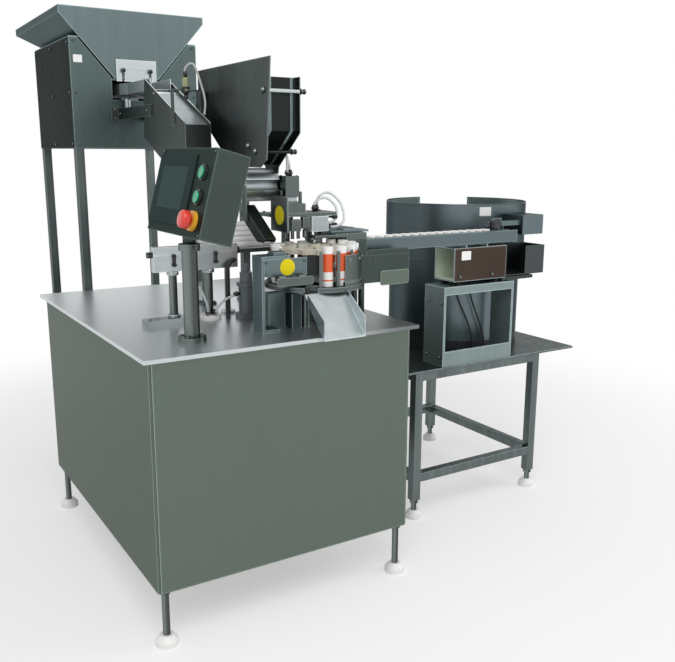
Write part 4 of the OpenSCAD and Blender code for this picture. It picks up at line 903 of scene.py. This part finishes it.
class TF_OT_tower(bpy.types.Operator):
    """Cover screws, blank plate, dust spout and gate nuts of the tablet tower"""

    bl_idname = "tubefiller.tower"
    bl_label = "Tablet tower"

    def execute(self, context):
        d = context.scene.tf_fittings.screw_d
        front, rear = TOWER_Y
        screws("tower_front_screws", product((161, 555), (front,), (1508, 1350, 1191)), FRONT, d)
        for name, x, axis in zip(("left", "right"), TOWER_X, (LEFT, RIGHT)):
            screws("tower_%s_screws" % name, product((x,), (1050, 1276, 1490), (1191, 1350, 1503)), axis, d)
        screws("tower_rear_screws", product((163, 358, 553), (rear,), (1191, 1503)), BACK, d)
        build("tower_blank_plate", "label_film", [(plate, (158, front - 0.7, 1442), (186, front, 1465), 2)], edge=0.2,
              flat=True)
        spout = [(12, 0), (12, 18), (10.5, 20), (10.5, 54), (9, 56), (8.6, 56), (8.6, 40), (0, 40)]
        forms = [(turned, (318, 1003, 1346), DOWN, spout, 32)]
        build("dust_spout", "milled_alloy", forms, "tray")
        nut = [(6.5, 0), (6.5, 5), (5.6, 6), (3, 6), (3, 9), (0, 9.4)]
        forms = [(turned, (x, 1012.9, 1424), FRONT, nut, 6) for x in (313, 403)]
        build("gate_nuts", "black_plastic", forms, flat=True)
        screws("chute_arm_bolts", product((282, 389), (1022,), (1273, 1302)), FRONT, d)
        screws("chute_side_screws", product((291.5,), (740, 1000), (1287,)), LEFT, d)
        return {"FINISHED"}


def chute_top(y):
    """Height of the tablet chute's upper edge"""
    return 1382 - (775 - y) * 0.4348


class TF_OT_tube_feed(bpy.types.Operator):
    """Bolts, nuts, screws, guides and sleeve of the tube bin, and the sensor and sheets of the tablet chute"""

    bl_idname = "tubefiller.tube_feed"
    bl_label = "Tube bin"

    def execute(self, context):
        d = context.scene.tf_fittings.bolt_d
        left, right = BIN_X
        screws("bin_left_bolts", [(left, y, z) for y, z in (*TIE_RODS, (296, 1182))], LEFT, d, profile=bolt_profile)
        end_nut = [(7, 0), (7, 5), (6, 6), (0, 6)]
        lock_nut = [(8, 0), (8, 4), (7, 4.6), (5.05, 4.6)]
        build("tie_rod_nuts", "round_bar", [(turned, (right + out, *rod), RIGHT, nut, 6) for rod in TIE_RODS
                                            for out, nut in ((10, end_nut), (0.2, lock_nut))], flat=True)
        ring = [(y, z) for y, z, _ in around(DRUM_AXIS, 17, 0, (90, 210, 330))]
        faces = ((left - 0.1, LEFT), (right + 0.1, RIGHT))
        build("bearing_screws", "round_bar", [(turned, (x, *spot), axis, screw_profile(0.006), 12)
                                              for x, axis in faces for spot in ring])
        barrel = [(5, 0), (8.6, 0.5), (9, 2), (9, 35), (8, 37), (4.5, 38)]
        forms = [(turned, SENSOR, UP, barrel, 28)]
        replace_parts(build("sensor_barrel", "sensor_body", forms), "level_sensor")
        plug = [(5.2, 0), (5.2, 7), (6.4, 7.5), (6.4, 14), (4, 18), (3.2, 19)]
        tip = [(6, 0), (6, 19), (5, 22), (0, 22.6)]
        x, y, foot = SENSOR
        nuts = [(turned, (x, y, foot + up), UP, [(bore, 0), (12, 0), (12, 5), (11, 6), (bore, 6)], 6)
                for up, bore in ((-4, 9.1), (7, 9.05))]
        build("sensor_ends", "black_plastic", [(turned, (x, y, foot + 37.5), UP, plug, 20),
                                               (turned, (x, y, foot + 0.5), DOWN, tip, 24), *nuts])
        slope = [(585, 1287), (520, 1259), (468, 1236.5)]
        build("chute_cover", "pale_plate", [(strip, *CHUTE_X, slope, -2)], flat=True)
        top = [(y, chute_top(y)) for y in (772, 620, 462)]
        build("chute_edges", "pale_plate", [(strip, x, x + 3.2, top, -1.2) for x in (296.9, 370.9)], flat=True)
        drop = [(463, 1240), (462.5, 1200), (463, 1165)]
        build("chute_front", "shaded_sheet", [(strip, *CHUTE_X, drop)], flat=True)
        fall = [(214, 1351), (214, 1221), (331, 1134)]
        build("bin_guides", "hopper_sheet", [(strip, x, x + 7, fall) for x in (424, 486)], flat=True)
        sleeve = [(5.02, 0), (5.3, 0.4), (5.3, 48), (5.05, 49), (5.3, 50), (5.3, 98.6), (5.02, 99)]
        build("tie_sleeve", "pale_plate", [(turned, (left + 3, *TIE_RODS[0]), RIGHT, sleeve)])
        return {"FINISHED"}


# The sloping tablet rack's front corner, and where each row of tablets starts on it and how many it has
RACK = (300.5, 385, 892)
RACK_SLOPE = math.radians(25)
RACK_PITCH = 28
TABLET_ROWS = ((9, 46), (7.5, 47), (10, 45), (8, 46), (12, 44))


def on_rack(x, y, z):
    """A place on the sloping tablet rack, from its front corner"""
    return (RACK[0] + x, RACK[1] + y * math.cos(RACK_SLOPE) - z * math.sin(RACK_SLOPE),
            RACK[2] + y * math.sin(RACK_SLOPE) + z * math.cos(RACK_SLOPE))


class TF_OT_infeed(bpy.types.Operator):
    """Rows of tablets on the rack, and the levers, collars and rod of the pusher"""

    bl_idname = "tubefiller.infeed"
    bl_label = "Tablet infeed"

    def execute(self, context):
        sizes = context.scene.tf_fittings
        r = sizes.tablet_d / MM / 2
        t = sizes.tablet_t / MM
        rounding = 0.9
        for row, (start, count) in enumerate(TABLET_ROWS):
            profile = [(0, 0)]
            for z in (i * t for i in range(count)):
                profile += [(r - rounding, z + 0.02), (r, z + 0.8), (r, z + t - 0.8), (r - rounding, z + t - 0.02)]
            profile.append((0, count * t))
            forms = [(turned, on_rack(start, 18 + row * RACK_PITCH, 6.1 + r), RIGHT, profile, 28)]
            build("tablet_row_%d" % (row + 1), "tablet", forms)
        hub = [(6, 0), (6, 3), (4.5, 3.4), (4.5, 10), (3.5, 11), (0, 11)]
        lever = [(2.2, 0), (3, 2), (3, 20), (4.4, 24), (4.2, 30), (3, 32), (0, 32.4)]
        forms = []
        for x, z in ((212, 876), (330, 878)):
            forms += [(turned, (x, PUSH_UNDER[1], z), FRONT, hub, 20), (turned, (x, 349, z - 4), UP, lever, 16)]
        build("clamp_levers", "black_plastic", forms)
        collar = [(11.05, 0), (16, 0), (16, 9), (15, 10), (11.05, 10)]
        foot = [(11.05, 0), (17, 0), (17, 7), (16, 8), (11.05, 8)]
        forms = [(turned, (x, POST_Y, PUSH_UNDER[2]), DOWN, collar, 32) for x in (210, 312)]
        forms.append((turned, (210, POST_Y, BASE_BAR_Z), UP, foot, 32))
        build("post_collars", "milled_alloy", forms)
        screws("stand_bolts", [(x, 351, BASE_BAR_Z) for x in (138, 252)], UP, sizes.screw_d)
        rod = [*((356, 340, z) for z in (TABLE_Z + 1, 790, 842)), (360, 342, 864), (374, 348, 876), (388, 357, 878)]
        lines("lever_rod", [rod], 0.012, "black_plastic")
        return {"FINISHED"}


def station_pieces():
    """Blocks, rods and springs between the guard and the capping cylinder, and the deck behind them"""
    blocks = bricks(((496, 285, BRIDGE_Z), (512, 331, 1050)), ((512, 285, BRIDGE_Z), (551, 290.5, 1036)),
                    ((551, 285, BRIDGE_Z), (572, 334, 1030)), ((494, 272, 962), (512, 286, 994)),
                    ((518, 268, 956), (548, 284, 988)), ((554, 270, 964), (576, 286, 994)),
                    ((500, 276, 994), (506, 284, BRIDGE_Z)))
    build("station_blocks", "station_sheet", blocks, edge=1.2, flat=True)
    rods = ((503, 279, 935, 962), (524, 276, 935, 956), (542, 276, 935, 956), (565, 278, 936, 964),
            (560, 296, 1030, 1062), (504, 300, 1050, 1066))
    forms = [(turned, (x, y, low), UP, [(4.5, 0), (5, 1), (5, high - low - 1), (4.5, high - low)], 20)
             for x, y, low, high in rods]
    coil = [(5, 0)]
    for z in range(0, 21, 3):
        coil += [(8, z + 0.6), (8, z + 1.8), (6, z + 2.4)]
    coil.append((5, 22))
    forms += [(turned, (*spot, 938), UP, coil, 20) for spot in ((503, 279), (565, 278))]
    build("station_rods", "round_bar", forms)
    head = bricks(((677, 240, 926), (745, 320, 946)), ((642, 240, 936), (677, 320, 946)),
                  ((575, 240, 936), (642, 276, 944)))
    build("lane_head", "station_sheet", head, edge=1.2, flat=True)
    leg = [(17, 0), (17, 8), (11, 8.5), (11, 222), (15, 222.5), (15, 226)]
    deck = bricks(((640, 262, 946), (766, 470, 952)), ((690, 276, 951), (742, 316, 955)))
    legs = [(turned, (x, 452, TABLE_Z), UP, leg) for x in (676, 752)]
    build("rear_deck", "hopper_sheet", deck + legs, edge=1, flat=True)
    screws("deck_bolts", product((656, 752), (330, 452), (952,)), UP, 0.009)
    tip = [(3, 0), (3, 30), (6, 30.4), (6.5, 32), (6.5, 42), (5, 44), (0, 44)]
    build("valve_tips", "black_plastic", [(turned, (637, 300, z), RIGHT, tip, 20) for z in (989, 966)])
    covers = bricks(((384, 150, TABLE_Z), (430, 192, 812)), ((440, 128, TABLE_Z), (468, 166, 812)),
                    ((384, 150, 812), (468, 166, 815)))
    build("dial_stand_covers", "hopper_sheet", covers, edge=1.5, flat=True)


def front_apron():
    """Plate under the front bracket, held by two tabs, and the yellow fitting on the table behind it"""
    tabs = [(brick, (x, 86, 851), (x + 18, 109, 866)) for x in (382, 440)]
    build("front_apron", "station_sheet", [(plate, (375, 84, 840), (478, 87, 862), 4), *tabs], edge=0.6, flat=True)
    fitting = [(10, 0), (10, 9), (7, 10), (7, 17), (9, 18), (9, 23), (7, 25), (0, 25)]
    build("yellow_fitting", "yellow_plastic", [(turned, (450, 423, TABLE_Z), UP, fitting)])


def tube_guard():
    """Bent plate on a foot rail round the right front of the dial, clear of the tubes' sweep"""
    inner, outer = 125, 127
    forms = [(swept, DIAL, [(inner, 836), (inner, 908), (outer, 908), (outer, 836)], -81, -22, 30),
             (swept, DIAL, [(123, 828), (123, 838), (131, 838), (131, 828)], -83, -20, 30)]
    angles = (-74, -51, -28)
    for spot, out in zip(around(DIAL, outer, 894, angles), around((0, 0), 1, 0, angles)):
        forms.append((turned, spot, out, screw_profile(0.008), 14))
    build("tube_guard", "station_sheet", forms, edge=0.4)


class TF_OT_dial(bpy.types.Operator):
    """Plain discs, bolts and fittings round the index dial and the stations"""

    bl_idname = "tubefiller.dial"
    bl_label = "Dial and stations"

    def execute(self, context):
        sizes = context.scene.tf_fittings
        r = sizes.disc_d / MM / 2
        film = [(r, 0), (r, 0.35), (r - 0.3, 0.5), (0, 0.5)]
        small_film = [(0.84 * radius, z) for radius, z in film]
        build("plain_discs", "disc_film", [(turned, (470, 248, 1003), LEFT, film, 48),
                                           (turned, (417, BRACKET_Y, 884.8), FRONT, small_film, 48)], flat=True)
        bridge = [*product((484, 588), (292, 366), (BRIDGE_Z,)), (662, 366, BRIDGE_Z)]
        screws("bridge_bolts", bridge, UP, sizes.screw_d)
        screws("cylinder_bolts", square(FILL_TOP, 16), UP, 0.006)
        nut = [(13, 0), (13, 3), (9, 4), (9, 8), (7.5, 9.4), (0, 9.4)]
        build("dial_nut", "round_bar", [(turned, (*DIAL, 928.3), UP, nut, 6)], "dial", flat=True)
        screws("dial_screws", around(DIAL, 52, 920.3, range(0, 360, 60)), UP, 0.008, "dial")
        front = [(x, BRACKET_Y, z) for x, z in ((358, 899), (358, 870), (465, 899))]
        screws("bracket_front_screws", front, FRONT, 0.007)
        station_pieces()
        front_apron()
        tube_guard()
        low, high = (790, CAP_PANEL_Y - 2, 790), (893, CAP_PANEL_Y, 833)
        build("bracket_plate", "cover_sheet", [(plate, low, high, 8)], edge=0.6, flat=True)
        build("bracket_web", "case_sheet", [(plate, (744, 237, 866), (893, 241, 896), 10)], edge=0.6, flat=True)
        panel = [(x, CAP_PANEL_Y, z) for x, z in ((700, 824), (700, 884), (770, 870))]
        screws("bracket_panel_screws", panel, FRONT, 0.007)
        return {"FINISHED"}


def loose_cap_forms(count):
    """Caps lying at random on the bowl's floor"""
    cap = [(0, 0), (12.5, 0), (13, 1), (13, 9), (15, 9.5), (15, 13), (14, 14), (0, 14)]
    chance = random.Random(7)
    for _ in range(count):
        a = chance.uniform(0, math.tau)
        r = 40 + 100 * math.sqrt(chance.random())
        lean = (chance.uniform(-0.45, 0.45), chance.uniform(-0.45, 0.45), 1)
        z = 724 + chance.uniform(0, 16) - (r - 60) * 0.06
        yield turned, (BOWL[0] + r * math.cos(a), BOWL[1] + r * math.sin(a), z), lean, cap, 18


def band(inner, outer, low, high):
    """Section of a thin upright band"""
    return [(outer, low), (outer, high), (inner, high), (inner, low)]


class TF_OT_cap_feeder(bpy.types.Operator):
    """Spiral ledge, loose caps, rim, blank plates and screws of the cap feeder"""

    bl_idname = "tubefiller.cap_feeder"
    bl_label = "Cap feeder"

    def execute(self, context):
        ledge = [(220.6, 800), (197, 798.5), (197, 796.5), (220.6, 798)]
        start, turns = math.degrees(-2.2), 1.9
        forms = [(swept, BOWL, ledge, start, start + 360 * turns, 150, 118)]
        build("spiral_ledge", "bench_steel", forms, "bowl")
        build("loose_caps", "white_plastic", loose_cap_forms(context.scene.tf_fittings.loose_caps), "bowl")
        rim = [(246.6, 997.6), (246.4, 999.9), (248.5, 1001.2), (250.4, 999.9), (250.3, 997.6)]
        build("bowl_rim", "round_bar", [(swept, BOWL, rim, 83.8, 399.4, 90)])
        wall = band(246.2, 246.9, 815, 997)
        build("bowl_liner", "hopper_sheet", [(swept, BOWL, wall, *span) for span in ((84, 256, 60), (285, 399, 40))])
        build("bowl_blank_plate", "label_film", [(swept, BOWL, band(249.6, 250.5, 962, 991), 248.8, 258.3, 8)])
        build("drive_cover", "drive_cover", [(plate, (1097, DRIVE_Y, 772), (1310, 268, 875), 3)], edge=0.4, flat=True)
        blank = (1122, 266.1, 838), (1160, 266.7, 866)
        build("drive_blank_plate", "label_film", [(plate, *blank, 2)], edge=0.2, flat=True)
        build("tray_shelf", "shaded_sheet", [(plate, (1300, 270, 760), (1440, 362, 770.3), 4),
                                           (brick, (1304, 300, 752), (1350, 350, 761))], edge=0.6, flat=True)
        screws("drive_screws", [(x, DRIVE_Y, 786) for x in (1118, 1252)], FRONT, 0.012)
        for name, x, axis in zip(("stand_screws", "stand_screws_right"), STAND_X, (LEFT, RIGHT)):
            screws(name, product((x,), (284, 350), (530, 705)), axis, 0.01)
        liner = bricks(((1096, 272, 774), (1166, 362, 775)), ((1096, 362, 775), (1166, 362.9, 872)),
                       ((1165.6, 272, 775), (1166.6, 362, 872)), ((1096, 271.1, 775), (1166, 272, 872)))
        build("drive_liner", "liner_paint", liner, flat=True)
        return {"FINISHED"}


class TF_OT_cabinet(bpy.types.Operator):
    """Cover screws of the cabinet's hidden sides and the bolts on its table"""

    bl_idname = "tubefiller.cabinet"
    bl_label = "Cabinet"

    def execute(self, context):
        d = context.scene.tf_fittings.screw_d
        screws("rear_cover_screws", product((60, 377, 695), (989,), (165, 690)), BACK, d)
        screws("right_cover_screws", product((739,), (60, 945), (165, 690)), RIGHT, d)
        post_feet = [spot for x in (393, 522) for spot in square((x, 572, TABLE_Z + 8), 16)]
        screws("post_foot_bolts", post_feet, UP, 0.008)
        return {"FINISHED"}


# Camera fitted to the photo, in metres, with its directions to the right and ahead
CAMERA_PLACE = (-1.37235, -2.49833, 1.16330)
CAMERA_RIGHT = (0.8487275, -0.5288173, 0.0037290)
CAMERA_AHEAD = (0.5173220, 0.8287737, -0.2133358)
FILM_WIDTH = 36


def seen_ray(tree):
    """One for light paths that lead to the camera directly, by reflection or through a material"""
    path = tree.nodes.new("ShaderNodeLightPath").outputs
    direct = math_node(tree, "MAXIMUM", path["Is Camera Ray"], path["Is Glossy Ray"])
    return math_node(tree, "MAXIMUM", direct, path["Is Transmission Ray"])


def make_floor(look):
    """Round floor that fades to white away from the machine"""
    bm = bmesh.new()
    bmesh.ops.create_circle(bm, cap_ends=True, radius=look.floor_r, segments=96,
                            matrix=Matrix.Translation((0, 0, -0.4 * MM)))
    mesh = bpy.data.meshes.new("floor")
    bm.to_mesh(mesh)
    bm.free()
    floor = bpy.data.objects.new("floor", mesh)
    bpy.context.scene.collection.objects.link(floor)
    material = bpy.data.materials.new("floor_paint")
    material.use_nodes = True
    paint = material.node_tree
    shader = paint.nodes["Principled BSDF"]
    shader.inputs["Base Color"].default_value = (*look.floor, 1)
    shader.inputs["Roughness"].default_value = 0.9
    shader.inputs["Specular IOR Level"].default_value = 0.1
    place = paint.nodes.new("ShaderNodeNewGeometry").outputs["Position"]
    away = vector_math(paint, "LENGTH", place)["Value"]
    far = map_range(paint, away, look.floor_near, look.floor_far, look.floor_lift, kind="SMOOTHSTEP")
    mixed = paint.nodes.new("ShaderNodeMixShader")
    paint.links.new(math_node(paint, "MULTIPLY", far, seen_ray(paint)), mixed.inputs[0])
    paint.links.new(shader.outputs[0], mixed.inputs[1])
    paint.links.new(paint.nodes.new("ShaderNodeEmission").outputs[0], mixed.inputs[2])
    paint.links.new(mixed.outputs[0], paint.nodes["Material Output"].inputs["Surface"])
    mesh.materials.append(material)


def make_world(scene, look):
    """Even light all round, which is plain white where it is seen"""
    scene.world = bpy.data.worlds.new("studio")
    scene.world.use_nodes = True
    tree = scene.world.node_tree
    background = tree.nodes["Background"]
    background.inputs["Color"].default_value = (1, 1, 1, 1)
    strength = map_range(tree, seen_ray(tree), 0.0, 1.0, look.ambient)
    tree.links.new(strength, background.inputs["Strength"])


def area_lamp(name, place, target, size, power):
    lamp = bpy.data.lights.new(name, "AREA")
    lamp.size = size
    lamp.energy = power
    made = bpy.data.objects.new(name, lamp)
    made.location = place
    made.rotation_euler = (Vector(target) - Vector(place)).to_track_quat("-Z", "Y").to_euler()
    bpy.context.scene.collection.objects.link(made)


def make_camera(scene, look):
    ahead = Vector(CAMERA_AHEAD).normalized()
    right = Vector(CAMERA_RIGHT).normalized()
    turn = Matrix((right, right.cross(ahead), -ahead)).transposed()
    lens = bpy.data.cameras.new("camera")
    lens.lens = look.lens
    lens.sensor_width = FILM_WIDTH
    lens.clip_end = 60
    scene.camera = bpy.data.objects.new("camera", lens)
    scene.camera.matrix_world = Matrix.Translation(CAMERA_PLACE) @ turn.to_4x4()
    scene.collection.objects.link(scene.camera)


class TF_OT_stage(bpy.types.Operator):
    """Floor, surrounding light, lamps and the camera"""

    bl_idname = "tubefiller.stage"
    bl_label = "Stage"

    def execute(self, context):
        scene = context.scene
        look = scene.tf_stage
        scene.view_settings.view_transform = "Standard"
        make_floor(look)
        make_world(scene, look)
        area_lamp("key_lamp", (-1.6, -3.2, 3.9), (0, 0, 0.7), 2.6, look.key)
        area_lamp("fill_lamp", (3.4, -2.2, 2.6), (0.2, 0, 0.7), 2.2, look.fill)
        make_camera(scene, look)
        return {"FINISHED"}


OPERATORS = (TF_OT_stage, TF_OT_finishes, TF_OT_lines, TF_OT_cabinet, TF_OT_control, TF_OT_tower, TF_OT_tube_feed,
             TF_OT_infeed, TF_OT_dial, TF_OT_cap_feeder)


class TF_PT_panel(bpy.types.Panel):
    """Lists the machine's groups, sizes and colours"""

    bl_idname = "TF_PT_panel"
    bl_label = "Tube filler"
    bl_space_type = "VIEW_3D"
    bl_region_type = "UI"
    bl_category = "Tube filler"

    def draw(self, context):
        for operator in OPERATORS:
            self.layout.operator(operator.bl_idname)
        for group in (context.scene.tf_fittings, context.scene.tf_finishes, context.scene.tf_stage):
            box = self.layout.box()
            for name in group.__annotations__:
                box.prop(group, name)


CLASSES = (TF_PG_finishes, TF_PG_fittings, TF_PG_stage, *OPERATORS, TF_PT_panel)


def register():
    for made in CLASSES:
        bpy.utils.register_class(made)
    bpy.types.Scene.tf_finishes = PointerProperty(type=TF_PG_finishes)
    bpy.types.Scene.tf_fittings = PointerProperty(type=TF_PG_fittings)
    bpy.types.Scene.tf_stage = PointerProperty(type=TF_PG_stage)


def unregister():
    del bpy.types.Scene.tf_finishes
    del bpy.types.Scene.tf_fittings
    del bpy.types.Scene.tf_stage
    for made in reversed(CLASSES):
        bpy.utils.unregister_class(made)


def main():
    register()
    bpy.ops.tubefiller.stage()
    bpy.ops.tubefiller.finishes()
    bpy.ops.tubefiller.lines()
    bpy.ops.tubefiller.cabinet()
    bpy.ops.tubefiller.control()
    bpy.ops.tubefiller.tower()
    bpy.ops.tubefiller.tube_feed()
    bpy.ops.tubefiller.infeed()
    bpy.ops.tubefiller.dial()
    bpy.ops.tubefiller.cap_feeder()


if __name__ == "__main__":
    main()
